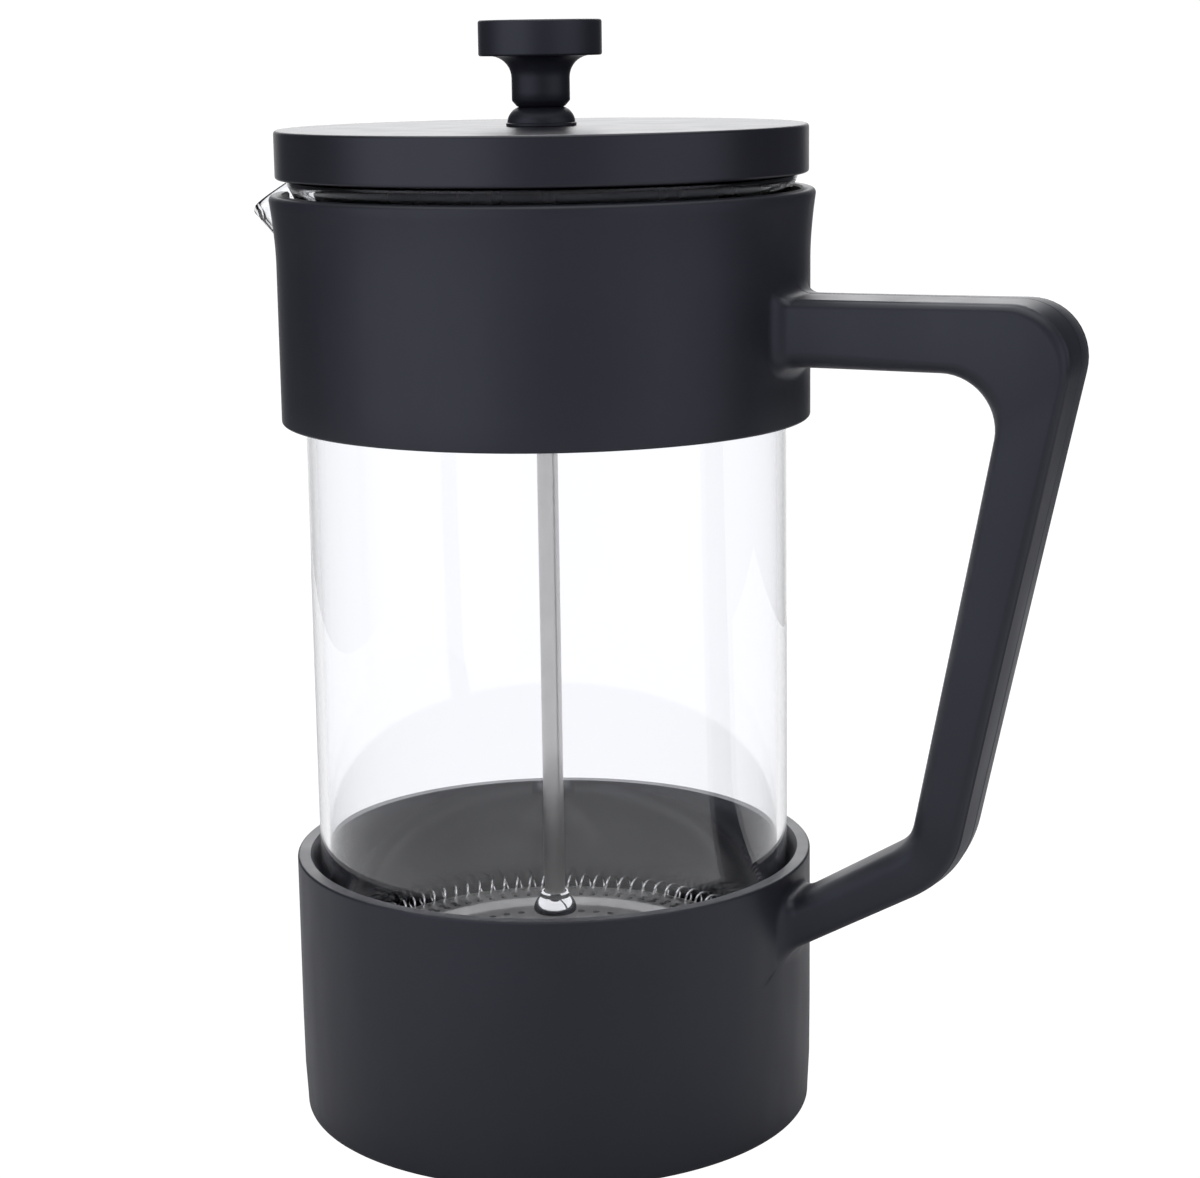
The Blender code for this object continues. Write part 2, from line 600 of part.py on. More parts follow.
def main():
    clear_scene()
    parts = new_collection("french_press")
    tools = new_collection("cutters")
    black = finish("black_plastic", (0.022, 0.022, 0.027), 0.42)
    dark = finish("dark_plastic", (0.016, 0.016, 0.019), 0.3)
    glass = finish("clear_glass", (0.93, 0.94, 0.98), 0.02, alpha=0.3)
    silicone = finish("grey_silicone", (0.2, 0.2, 0.21), 0.6)
    steel = finish("satin_steel", (0.55, 0.55, 0.56), 0.28, metallic=1.0)
    chrome = finish("polished_steel", (0.75, 0.75, 0.76), 0.08, metallic=1.0)
    woven = finish("woven_steel", (0.42, 0.42, 0.43), 0.4, metallic=1.0)
    make_frame(parts, tools, black)
    make_cushion(parts, silicone)
    make_beaker(parts, glass)
    make_lid_cover(parts, black)
    make_lid_insert(parts, tools, dark)
    make_guide_bush(parts, black)
    make_knob(parts, black, steel)
    make_rod(parts, steel)
    make_ball_nut(parts, chrome)
    make_spiral_plate(parts, tools, chrome)
    make_spring_coil(parts, chrome)
    make_mesh_screen(parts, woven)
    make_cross_plate(parts, tools, steel)


main()
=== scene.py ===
import logging
import math
from collections.abc import Callable, Sequence
from dataclasses import dataclass, field
from enum import Enum

import bmesh
import bpy
from mathutils import Matrix, Vector


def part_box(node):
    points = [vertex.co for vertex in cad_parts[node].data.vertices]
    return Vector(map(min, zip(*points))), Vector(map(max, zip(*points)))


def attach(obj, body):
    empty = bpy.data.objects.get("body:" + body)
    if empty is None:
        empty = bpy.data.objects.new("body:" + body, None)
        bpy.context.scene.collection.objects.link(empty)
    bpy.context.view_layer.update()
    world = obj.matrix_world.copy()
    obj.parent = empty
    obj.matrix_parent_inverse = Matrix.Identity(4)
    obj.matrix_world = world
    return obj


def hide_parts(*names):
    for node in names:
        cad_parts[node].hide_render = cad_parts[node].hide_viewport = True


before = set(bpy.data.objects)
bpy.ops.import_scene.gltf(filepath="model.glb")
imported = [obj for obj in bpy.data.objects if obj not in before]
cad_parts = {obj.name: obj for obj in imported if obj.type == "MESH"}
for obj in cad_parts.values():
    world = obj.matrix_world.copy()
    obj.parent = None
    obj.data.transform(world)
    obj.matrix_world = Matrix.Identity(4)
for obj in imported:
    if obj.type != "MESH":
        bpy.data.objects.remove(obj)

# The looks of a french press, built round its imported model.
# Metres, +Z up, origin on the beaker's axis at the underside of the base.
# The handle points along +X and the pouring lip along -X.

MM = 0.001
TURN = 2 * math.pi
WELD = 1e-6  # vertices nearer than this are one
STEPS = 192  # facets round the large turned pieces
SMALL_STEPS = 96  # facets round the knob, the rod and the nuts
GAP = 0.3 * MM  # left between pieces that fit in each other
CONTACT = 0.04 * MM  # left where a moving piece rests on another
NOISE_SPAN = (0.3, 0.7)  # the part of its range that most of a noise's values lie in

Point2 = tuple[float, float]
Colour = tuple[float, float, float]
Loop = list[bmesh.types.BMVert]
Socket = bpy.types.NodeSocket
Place = Callable[[float, float, float], Vector]

log = logging.getLogger("french_press")
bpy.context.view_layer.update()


class Slot(Enum):
    """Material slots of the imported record."""

    BLACK_PLASTIC = "black_plastic"
    DARK_PLASTIC = "dark_plastic"
    GLASS = "clear_glass"
    SILICONE = "grey_silicone"
    SATIN_STEEL = "satin_steel"
    POLISHED_STEEL = "polished_steel"
    WOVEN_STEEL = "woven_steel"


@dataclass(frozen=True)
class Finish:
    """A material and the record's slot that it belongs to."""

    material: bpy.types.Material
    slot: Slot


class Body(Enum):
    """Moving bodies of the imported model."""

    FRAME = "frame"
    BEAKER = "beaker"
    BUSH = "bush"
    LID = "lid"
    PLUNGER = "plunger"


class RowCut(Enum):
    """What a row of small shapes does to the piece that it meets."""

    OPEN = "DIFFERENCE"
    JOIN = "UNION"


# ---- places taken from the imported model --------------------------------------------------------


@dataclass(frozen=True)
class Extent:
    """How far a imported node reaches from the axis, and from which height to which."""

    radius: float
    low: float
    high: float

    @classmethod
    def of(cls, node: str) -> "Extent":
        """Reads a node's extent.

        Args:
            node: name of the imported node.

        Returns:
            The node's reach along +Y and its two heights.
        """
        low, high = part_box(node)
        return cls(high.y, low.z, high.z)


# ---- node trees --------------------------------------------------------------------------------


class Nodes:
    """Adds nodes to a tree with their values and links given in one call."""

    def __init__(self, tree: bpy.types.NodeTree) -> None:
        """Keeps the tree that the nodes go into."""
        self.tree = tree

    def add(self, kind: str, values: dict | None = None, **settings: object) -> bpy.types.Node:
        """Adds one node.

        Args:
            kind: Blender's name for the node type.
            values: constants or output sockets by input name or number.
            settings: properties of the node itself.

        Returns:
            The new node.
        """
        node = self.tree.nodes.new(kind)
        for name, value in settings.items():
            setattr(node, name, value)
        for key, value in (values or {}).items():
            if isinstance(value, Socket):
                self.tree.links.new(value, node.inputs[key])
            else:
                node.inputs[key].default_value = value
        return node

    def math(self, operation: str, *values: object) -> Socket:
        """Adds a Math node and returns its output."""
        numbered = dict(enumerate(values))
        return self.add("ShaderNodeMath", numbered, operation=operation).outputs[0]


class GeometryTree(Nodes):
    """A Geometry Nodes tree with named inputs that takes a mesh and gives one back."""

    def __init__(self, name: str, **inputs: str) -> None:
        """Makes the tree.

        Args:
            name: name of the node group.
            inputs: socket type for each named input, with _ for a space in its name.
        """
        super().__init__(bpy.data.node_groups.new(name, "GeometryNodeTree"))
        sockets = self.tree.interface
        sockets.new_socket("Geometry", in_out="INPUT", socket_type="NodeSocketGeometry")
        for label, kind in inputs.items():
            sockets.new_socket(label.replace("_", " "), in_out="INPUT", socket_type=f"NodeSocket{kind}")
        sockets.new_socket("Material", in_out="INPUT", socket_type="NodeSocketMaterial")
        sockets.new_socket("Geometry", in_out="OUTPUT", socket_type="NodeSocketGeometry")
        self.group_input = self.tree.nodes.new("NodeGroupInput").outputs

    def finish(self, geometry: Socket, smooth: bool = True) -> None:
        """Ends the tree by realising instances and setting the material.

        Args:
            geometry: what the tree has made.
            smooth: whether its faces are shaded smooth.
        """
        real = self.add("GeometryNodeRealizeInstances", {"Geometry": geometry}).outputs[0]
        shaded = self.add("GeometryNodeSetShadeSmooth", {"Geometry": real, "Shade Smooth": smooth})
        dressed = self.add(
            "GeometryNodeSetMaterial",
            {"Geometry": shaded.outputs[0], "Material": self.group_input["Material"]},
        )
        self.add("NodeGroupOutput", {0: dressed.outputs[0]})

    def apply(self, obj: bpy.types.Object, **values: object) -> bpy.types.Object:
        """Runs the tree on an object and keeps the result as its plain mesh.

        Args:
            obj: the object whose mesh goes in.
            values: a value for each named input, with _ for a space in its name.

        Returns:
            The same object, with no modifier left on it.
        """
        modifier = obj.modifiers.new(self.tree.name, "NODES")
        modifier.node_group = self.tree
        for label, value in values.items():
            socket = self.tree.interface.items_tree[label.replace("_", " ")]
            modifier[socket.identifier] = value
        return bake(obj)


def bake(obj: bpy.types.Object) -> bpy.types.Object:
    """Replaces an object's mesh by its evaluated mesh.

    Args:
        obj: an object with live modifiers.

    Returns:
        The same object without modifiers.
    """
    bpy.context.view_layer.update()
    graph = bpy.context.evaluated_depsgraph_get()
    mesh = bpy.data.meshes.new_from_object(obj.evaluated_get(graph), depsgraph=graph)
    mesh.name = obj.name
    obj.modifiers.clear()
    obj.data = mesh
    return obj


def turning_tree() -> GeometryTree:
    """The tree that turns a closed outline, drawn in X and Y, round the Z axis.

    Returns:
        A tree with the input Steps.
    """
    tree = GeometryTree("turn_round_axis", Steps="Int")
    rail_radius = 0.1
    outline = tree.add("GeometryNodeMeshToCurve", {"Mesh": tree.group_input["Geometry"]})
    shifted = tree.add(
        "GeometryNodeTransform",
        {"Geometry": outline.outputs[0], "Translation": (-rail_radius, 0.0, 0.0), "Scale": (1.0, -1.0, 1.0)},
    )
    rail = tree.add(
        "GeometryNodeCurvePrimitiveCircle",
        {"Resolution": tree.group_input["Steps"], "Radius": rail_radius},
    )
    upright = tree.add("GeometryNodeSetCurveNormal", {"Curve": rail.outputs[0]}, mode="Z_UP")
    body = tree.add(
        "GeometryNodeCurveToMesh",
        {"Curve": upright.outputs[0], "Profile Curve": shifted.outputs[0]},
    )
    welded = tree.add("GeometryNodeMergeByDistance", {"Geometry": body.outputs[0], "Distance": WELD})
    tree.finish(welded.outputs[0])
    return tree


def row_tree(cut: RowCut) -> GeometryTree:
    """The tree that sets a row of small shapes round the axis and cuts or joins them.

    Args:
        cut: whether the shapes are openings or are added.

    Returns:
        A tree with the inputs Shape, Count, First Angle and Pitch.
    """
    name = f"{cut.name.lower()}_row"
    tree = GeometryTree(name, Shape="Object", Count="Int", First_Angle="Float", Pitch="Float")
    given = tree.group_input
    places = tree.add("GeometryNodePoints", {"Count": given["Count"]})
    index = tree.add("GeometryNodeInputIndex").outputs[0]
    turn = tree.math("MULTIPLY_ADD", index, given["Pitch"], given["First Angle"])
    spin = tree.add("FunctionNodeAxisAngleToRotation", {"Axis": (0.0, 0.0, 1.0), "Angle": turn})
    shape = tree.add("GeometryNodeObjectInfo", {"Object": given["Shape"]})
    row = tree.add(
        "GeometryNodeInstanceOnPoints",
        {"Points": places.outputs[0], "Instance": shape.outputs["Geometry"], "Rotation": spin.outputs[0]},
    )
    real = tree.add("GeometryNodeRealizeInstances", {"Geometry": row.outputs[0]})
    boolean = tree.add("GeometryNodeMeshBoolean", operation=cut.value, solver="MANIFOLD")
    if cut is RowCut.OPEN:
        tree.tree.links.new(given["Geometry"], boolean.inputs["Mesh 1"])
    else:
        tree.tree.links.new(given["Geometry"], boolean.inputs["Mesh 2"])
    tree.tree.links.new(real.outputs[0], boolean.inputs["Mesh 2"])
    tree.finish(boolean.outputs["Mesh"])
    return tree


def coil_tree() -> GeometryTree:
    """The tree that winds a wire round a ring, as a spring laced round a disc.

    Returns:
        A tree with the inputs Ring Radius, Loop Radius, Wire Radius, Height, Turns and Points.
    """
    tree = GeometryTree(
        "ring_spring",
        Ring_Radius="Float",
        Loop_Radius="Float",
        Wire_Radius="Float",
        Height="Float",
        Turns="Int",
        Points="Int",
    )
    given = tree.group_input
    line = tree.add("GeometryNodeCurvePrimitiveCircle", {"Resolution": given["Points"], "Radius": 1.0})
    index = tree.add("GeometryNodeInputIndex").outputs[0]
    share = tree.math("DIVIDE", index, given["Points"])
    round_ring = tree.math("MULTIPLY", share, TURN)
    round_loop = tree.math("MULTIPLY", round_ring, given["Turns"])
    out = tree.math("MULTIPLY", tree.math("COSINE", round_loop), given["Loop Radius"])
    radius = tree.math("ADD", out, given["Ring Radius"])
    rise = tree.math("MULTIPLY", tree.math("SINE", round_loop), given["Loop Radius"])
    place = tree.add(
        "ShaderNodeCombineXYZ",
        {
            "X": tree.math("MULTIPLY", radius, tree.math("COSINE", round_ring)),
            "Y": tree.math("MULTIPLY", radius, tree.math("SINE", round_ring)),
            "Z": tree.math("ADD", rise, given["Height"]),
        },
    )
    wound = tree.add(
        "GeometryNodeSetPosition", {"Geometry": line.outputs[0], "Position": place.outputs[0]}
    )
    wire = tree.add("GeometryNodeCurvePrimitiveCircle", {"Resolution": 8, "Radius": given["Wire Radius"]})
    body = tree.add(
        "GeometryNodeCurveToMesh",
        {"Curve": wound.outputs[0], "Profile Curve": wire.outputs[0]},
    )
    tree.finish(body.outputs[0])
    return tree


# ---- shapes ------------------------------------------------------------------------------------


def arc(centre: Point2, radius: float, start: float, end: float, count: int) -> list[Point2]:
    """Points on an arc.

    Args:
        centre: its centre (r, z).
        radius: its radius.
        start: first angle in degrees, from +r towards +z.
        end: last angle in degrees.
        count: how many equal shares it is cut into.

    Returns:
        count + 1 points.
    """
    points = []
    for i in range(count + 1):
        angle = math.radians(start + (end - start) * i / count)
        points.append((centre[0] + radius * math.cos(angle), centre[1] + radius * math.sin(angle)))
    return points


def rounded(corners: Sequence[tuple[float, float, float]], count: int = 6) -> list[Point2]:
    """A closed outline with rounded corners.

    Next to each round, a point on the straight keeps the shading of the flat face flat.

    Args:
        corners: (r, z, radius) in order, where radius 0 leaves a corner sharp.
        count: how many shares each round is cut into.

    Returns:
        The points of the outline.
    """
    points: list[Point2] = []
    for i, (r, z, radius) in enumerate(corners):
        if radius <= 0:
            points.append((r, z))
            continue
        corner = Vector((r, z))
        back = Vector(corners[i - 1][:2]) - corner
        ahead = Vector(corners[(i + 1) % len(corners)][:2]) - corner
        half = back.angle(ahead) / 2
        reach = radius / math.tan(half)
        centre = corner + (back.normalized() + ahead.normalized()).normalized() * radius / math.sin(half)
        first = corner + back.normalized() * reach - centre
        last = corner + ahead.normalized() * reach - centre
        sweep = -first.angle_signed(last)
        if back.length > 2 * reach:
            points.append(tuple(corner + back.normalized() * min(reach * 1.5, back.length * 0.5)))
        for k in range(count + 1):
            points.append(tuple(centre + Matrix.Rotation(sweep * k / count, 2) @ first))
        if ahead.length > 2 * reach:
            points.append(tuple(corner + ahead.normalized() * min(reach * 1.5, ahead.length * 0.5)))
    return points


def placed(points: Sequence[Point2], r: float, z: float = 0.0) -> list[Point2]:
    """Moves points that are given in millimetres to their place.

    Args:
        points: how far out and up each lies from the place.
        r: the place's radius in metres.
        z: its height in metres.

    Returns:
        Points (r, z) in metres.
    """
    return [(r + out * MM, z + up * MM) for out, up in points]


def ring_outline(inner: float, extent: Extent, inner_edge: float, outer_edge: float) -> list[Point2]:
    """A closed outline with four corners, for a plain ring or bar.

    Args:
        inner: radius of its hole, or 0.
        extent: its outer radius and its heights.
        inner_edge: radius of the rounds at the hole.
        outer_edge: radius of the rounds outside.

    Returns:
        The points of the outline.
    """
    corners = [
        (inner, extent.high, inner_edge),
        (extent.radius, extent.high, outer_edge),
        (extent.radius, extent.low, outer_edge),
        (inner, extent.low, inner_edge),
    ]
    return rounded(corners)


def upwards(x: float, y: float, z: float) -> Vector:
    """Places an outline drawn in X and Y that is pushed along +Z."""
    return Vector((x, y, z))


def towards_handle(y: float, z: float, x: float) -> Vector:
    """Places an outline drawn in Y and Z that is pushed along +X."""
    return Vector((x, y, z))


def towards_lip(y: float, z: float, x: float) -> Vector:
    """Places an outline drawn in Y and Z that is pushed along -X."""
    return Vector((-x, y, z))


def new_object(name: str, mesh: bpy.types.Mesh) -> bpy.types.Object:
    """Puts a mesh into the scene.

    Args:
        name: name of the object.
        mesh: its mesh.

    Returns:
        The new object.
    """
    obj = bpy.data.objects.new(name, mesh)
    bpy.context.scene.collection.objects.link(obj)
    return obj


def object_from(name: str, shape: bmesh.types.BMesh) -> bpy.types.Object:
    """Turns a finished bmesh into an object whose faces point outwards.

    Args:
        name: name of the object.
        shape: a closed bmesh, which is freed.

    Returns:
        The new object.
    """
    bmesh.ops.recalc_face_normals(shape, faces=shape.faces)
    mesh = bpy.data.meshes.new(name)
    shape.to_mesh(mesh)
    shape.free()
    return new_object(name, mesh)


def soften(obj: bpy.types.Object, sharp_degrees: float = 35.0) -> bpy.types.Object:
    """Shades an object smooth except across edges sharper than an angle.

    Args:
        obj: the object.
        sharp_degrees: the angle.

    Returns:
        The same object.
    """
    obj.data.shade_smooth()
    obj.data.set_sharp_from_angle(angle=math.radians(sharp_degrees))
    return obj


def discard(obj: bpy.types.Object) -> None:
    """Removes a helper object from the scene."""
    bpy.data.objects.remove(obj, do_unlink=True)


def bridge(shape: bmesh.types.BMesh, first: Loop, second: Loop) -> None:
    """Joins two closed loops of the same count by a ring of quads.

    Args:
        shape: the bmesh that holds both.
        first: vertices of one loop.
        second: vertices of the other loop, in the same order.
    """
    for i in range(len(first)):
        j = (i + 1) % len(first)
        shape.faces.new((first[i], first[j], second[j], second[i]))


def loft(shape: bmesh.types.BMesh, loop: Loop, rings: Sequence[Sequence[Vector]]) -> Loop:
    """Carries a loop on through rings of points.

    Args:
        shape: the bmesh that holds the loop.
        loop: where it starts.
        rings: points of each further ring, as many as the loop's.

    Returns:
        The last ring's vertices.
    """
    for points in rings:
        verts = [shape.verts.new(point) for point in points]
        bridge(shape, loop, verts)
        loop = verts
    return loop


def clean(obj: bpy.types.Object) -> None:
    """Welds an object's vertices and points its faces outwards.

    Args:
        obj: the object.
    """
    shape = bmesh.new()
    shape.from_mesh(obj.data)
    bmesh.ops.remove_doubles(shape, verts=shape.verts, dist=WELD)
    bmesh.ops.dissolve_degenerate(shape, edges=shape.edges, dist=WELD / 10)
    bmesh.ops.recalc_face_normals(shape, faces=shape.faces)
    shape.to_mesh(obj.data)
    shape.free()


def prism(name: str, outline: Sequence[Point2], place: Place, low: float,
          high: float) -> bpy.types.Object:
    """A closed straight body between two copies of an outline.

    Args:
        name: name of the object.
        outline: its points (u, v).
        place: turns (u, v, w) into a point in space.
        low: w of the first copy.
        high: w of the second copy.

    Returns:
        The new object.
    """
    shape = bmesh.new()
    bottom = [shape.verts.new(place(u, v, low)) for u, v in outline]
    top = [shape.verts.new(place(u, v, high)) for u, v in outline]
    bridge(shape, bottom, top)
    shape.faces.new(bottom)
    shape.faces.new(top)
    return object_from(name, shape)


@dataclass
class Workshop:
    """The node trees that several pieces share, and how finished pieces are handed over."""

    turning: GeometryTree = field(default_factory=turning_tree)
    opening: GeometryTree = field(default_factory=lambda: row_tree(RowCut.OPEN))
    joining: GeometryTree = field(default_factory=lambda: row_tree(RowCut.JOIN))
    coil: GeometryTree = field(default_factory=coil_tree)

    def turn(self, name: str, outline: Sequence[Point2], finish: Finish,
             steps: int = STEPS) -> bpy.types.Object:
        """Turns a closed outline of (r, z) points round the axis.

        Args:
            name: name of the piece.
            outline: its points, which may lie on the axis.
            finish: its finish.
            steps: facets round the axis.

        Returns:
            The turned object.
        """
        mesh = bpy.data.meshes.new(name)
        edges = [(i, (i + 1) % len(outline)) for i in range(len(outline))]
        mesh.from_pydata([(r, z, 0.0) for r, z in outline], edges, [])
        obj = self.turning.apply(new_object(name, mesh), Steps=steps, Material=finish.material)
        clean(obj)
        return soften(obj)

    def piece(self, name: str, outline: Sequence[Point2], finish: Finish, body: Body, node: str) -> None:
        """Turns a small piece and hands it over as it is.

        Args:
            name: name of the piece.
            outline: its closed outline (r, z).
            finish: its finish.
            body: the body that it moves with.
            node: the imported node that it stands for.
        """
        hand_over(self.turn(name, outline, finish, SMALL_STEPS), finish, body, node)

    def row(self, obj: bpy.types.Object, shape: bpy.types.Object, cut: RowCut, count: int,
            finish: Finish, first: float = 0.0, pitch: float | None = None) -> None:
        """Cuts or joins a row of copies of a shape round the axis, then discards the shape.

        Args:
            obj: the piece that is cut or added to.
            shape: one opening or rib, in its place for angle 0.
            cut: whether the copies are openings or are joined on.
            count: how many copies.
            finish: the piece's finish.
            first: angle of the first copy.
            pitch: angle between copies, or None to spread them evenly.
        """
        tree = self.opening if cut is RowCut.OPEN else self.joining
        step = TURN / count if pitch is None else pitch
        tree.apply(obj, Shape=shape, Count=count, First_Angle=first, Pitch=step, Material=finish.material)
        discard(shape)
        soften(obj)


def hand_over(obj: bpy.types.Object, finish: Finish, body: Body, node: str) -> None:
    """Dresses a finished piece, sets what it rides on and reports it.

    Args:
        obj: the finished piece.
        finish: its finish.
        body: the body that it moves with.
        node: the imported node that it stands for.
    """
    obj.data.materials.clear()
    obj.data.materials.append(finish.material)
    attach(obj, body.value)
    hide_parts(node)
    log.info("%s: %d faces, on body %s", obj.name, len(obj.data.polygons), body.value)


# ---- finishes ----------------------------------------------------------------------------------


class Shader(Nodes):
    """A material's node tree with its Principled shader."""

    def __init__(self, name: str) -> None:
        """Makes the material.

        Args:
            name: name of the material.
        """
        self.material = bpy.data.materials.new(name)
        self.material.use_nodes = True
        super().__init__(self.material.node_tree)
        self.surface = self.tree.nodes["Principled BSDF"]
        self.place = self.add("ShaderNodeTexCoord").outputs["Object"]

    def set(self, **constants: object) -> None:
        """Sets constants on the shader's own sockets, with _ for a space in a name."""
        for label, value in constants.items():
            self.surface.inputs[label.replace("_", " ")].default_value = value

    def noise(self, size: float, detail: float = 3.0, stretch: Colour = (1.0, 1.0, 1.0)) -> Socket:
        """Noise with features of a given size.

        Args:
            size: width of a feature in metres.
            detail: levels of finer detail.
            stretch: how much the pattern is squeezed along X, Y and Z.

        Returns:
            The noise's value.
        """
        mapped = self.add("ShaderNodeMapping", {"Vector": self.place, "Scale": stretch})
        values = {"Vector": mapped.outputs[0], "Scale": 1.0 / size, "Detail": detail}
        return self.add("ShaderNodeTexNoise", values).outputs[0]

    def between(self, share: Socket, low: float, high: float) -> Socket:
        """Spreads a noise's value over a range.

        Args:
            share: the noise's value.
            low: what its low values give.
            high: what its high values give.

        Returns:
            The new value.
        """
        limits = {"From Min": NOISE_SPAN[0], "From Max": NOISE_SPAN[1], "To Min": low, "To Max": high}
        return self.add("ShaderNodeMapRange", {"Value": share, **limits}).outputs[0]

    def tint(self, share: Socket, first: Colour, second: Colour) -> None:
        """Mixes two colours by a value into the base colour.

        Args:
            share: how much of the second colour there is.
            first: the colour where it is 0.
            second: the colour where it is 1.
        """
        mixed = self.add("ShaderNodeMix", {"Factor": share}, data_type="RGBA")
        mixed.inputs[6].default_value = (*first, 1.0)
        mixed.inputs[7].default_value = (*second, 1.0)
        self.tree.links.new(mixed.outputs[2], self.surface.inputs["Base Color"])

    def bump(self, height: Socket, depth: float, under: bpy.types.Node | None = None) -> bpy.types.Node:
        """Adds relief.

        Args:
            height: the relief's height from 0 to 1.
            depth: how deep 1 is, in metres.
            under: a bump that this one lies on.

        Returns:
            The Bump node, which is linked to the shader.
        """
        values = {"Height": height, "Distance": depth, "Strength": 1.0}
        if under is not None:
            values["Normal"] = under.outputs[0]
        node = self.add("ShaderNodeBump", values)
        self.tree.links.new(node.outputs[0], self.surface.inputs["Normal"])
        return node

    def roughen(self, share: Socket, low: float, high: float) -> None:
        """Lets the roughness vary between two values."""
        self.tree.links.new(self.between(share, low, high), self.surface.inputs["Roughness"])


@dataclass(frozen=True)
class MouldedPlastic:
    """Satin black polypropylene with the faint relief of its mould."""

    name: str
    colour: Colour
    worn: Colour
    smooth: float
    rough: float
    sheen: Colour = (0.90, 0.92, 1.0)
    cloud: float = 28 * MM
    cloud_depth: float = 0.03 * MM
    flow: float = 9 * MM
    grain: float = 0.35 * MM
    grain_depth: float = 0.0008 * MM

    def build(self) -> bpy.types.Material:
        """Makes the material.

        Returns:
            The material.
        """
        shader = Shader(self.name)
        shader.set(IOR=1.5, Specular_Tint=(*self.sheen, 1.0))
        cloud = shader.noise(self.cloud, 4.0)
        speck = shader.noise(self.grain, 2.0)
        flow = shader.noise(self.flow, 3.0, (1.0, 1.0, 0.25))
        shader.tint(shader.between(cloud, 0.0, 1.0), self.colour, self.worn)
        shader.roughen(flow, self.smooth, self.rough)
        waves = shader.bump(cloud, self.cloud_depth)
        shader.bump(speck, self.grain_depth, waves)
        return shader.material


@dataclass(frozen=True)
class BeakerGlass:
    """Clear borosilicate glass, faintly uneven, with a trace of handling marks."""

    name: str = "beaker_glass"
    colour: Colour = (0.975, 0.98, 1.0)
    refraction: float = 1.47
    smudge: float = 14 * MM
    smudge_roughness: float = 0.02
    wave: float = 60 * MM
    wave_depth: float = 0.003 * MM

    def build(self) -> bpy.types.Material:
        """Makes the material.

        Returns:
            The material.
        """
        shader = Shader(self.name)
        shader.set(Base_Color=(*self.colour, 1.0), IOR=self.refraction, Transmission_Weight=1.0)
        shader.roughen(shader.noise(self.smudge, 5.0), 0.0, self.smudge_roughness)
        shader.bump(shader.noise(self.wave, 0.0), self.wave_depth)
        return shader.material


@dataclass(frozen=True)
class TurnedSteel:
    """Stainless steel with fine marks that run round the axis."""

    name: str
    colour: Colour
    smooth: float
    rough: float
    mark: float = 0.12 * MM
    mark_depth: float = 0.002 * MM
    stain: float = 6 * MM
    stain_share: float = 0.93

    def build(self) -> bpy.types.Material:
        """Makes the material.

        Returns:
            The material.
        """
        shader = Shader(self.name)
        shader.set(Metallic=1.0)
        parts = shader.add("ShaderNodeSeparateXYZ", {0: shader.place})
        flat = shader.add("ShaderNodeCombineXYZ", {"X": parts.outputs["X"], "Y": parts.outputs["Y"]})
        radius = shader.add("ShaderNodeVectorMath", {0: flat.outputs[0]}, operation="LENGTH")
        across = shader.add("ShaderNodeCombineXYZ", {"X": radius.outputs["Value"], "Y": parts.outputs["Z"]})
        values = {"Vector": across.outputs[0], "Scale": 1.0 / self.mark, "Detail": 2.0}
        marks = shader.add("ShaderNodeTexNoise", values).outputs[0]
        stain = shader.noise(self.stain, 4.0)
        darker = tuple(self.stain_share * part for part in self.colour)
        shader.tint(shader.between(stain, 0.0, 1.0), self.colour, darker)
        shader.roughen(stain, self.smooth, self.rough)
        shader.bump(marks, self.mark_depth)
        return shader.material


@dataclass(frozen=True)
class WovenWire:
    """Fine stainless mesh: two sets of wires that pass over and under each other, with painted shade in the
    gaps and the low points between them.
    """

    name: str = "woven_wire"
    pitch: float = 0.42 * MM
    # painted shade: the near-black colour given to the gaps between the wires
    gap_shade_colour: Colour = (0.03, 0.03, 0.03)
    wire_colour: Colour = (0.62, 0.62, 0.63)
    relief: float = 0.12 * MM
    crossing: Point2 = (0.3, 0.5)  # how much a wire rises and falls where it crosses, and its mean

    def build(self) -> bpy.types.Material:
        """Makes the material.

        Returns:
            The material.
        """
        shader = Shader(self.name)
        shader.set(Metallic=1.0, Roughness=0.35)
        parts = shader.add("ShaderNodeSeparateXYZ", {0: shader.place})
        turns = TURN / self.pitch
        waves = []
        for axis in ("X", "Y"):
            angle = shader.math("MULTIPLY", parts.outputs[axis], turns)
            waves.append(shader.math("ABSOLUTE", shader.math("SINE", shader.math("MULTIPLY", angle, 0.5))))
            waves.append(shader.math("SINE", angle))
        crossing = shader.math("MULTIPLY_ADD", shader.math("MULTIPLY", waves[1], waves[3]), *self.crossing)
        height = shader.math("MULTIPLY", shader.math("MAXIMUM", waves[0], waves[2]), crossing)
        # painted shade: the gaps and low points between the wires are darkened, and the raised wires keep
        # the steel colour
        shader.tint(height, self.gap_shade_colour, self.wire_colour)
        shader.bump(height, self.relief)
        return shader.material


@dataclass(frozen=True)
class SoftSilicone:
    """Matt silicone with a fine, slightly dusty surface."""

    name: str = "soft_silicone"
    colour: Colour = (0.19, 0.19, 0.2)
    dust: float = 3 * MM
    dust_share: float = 1.35
    grain: float = 0.5 * MM
    grain_depth: float = 0.01 * MM

    def build(self) -> bpy.types.Material:
        """Makes the material.

        Returns:
            The material.
        """
        shader = Shader(self.name)
        dust = shader.noise(self.dust, 5.0)
        lighter = tuple(self.dust_share * part for part in self.colour)
        shader.tint(shader.between(dust, 0.0, 1.0), self.colour, lighter)
        shader.roughen(dust, 0.55, 0.75)
        shader.bump(shader.noise(self.grain), self.grain_depth)
        return shader.material


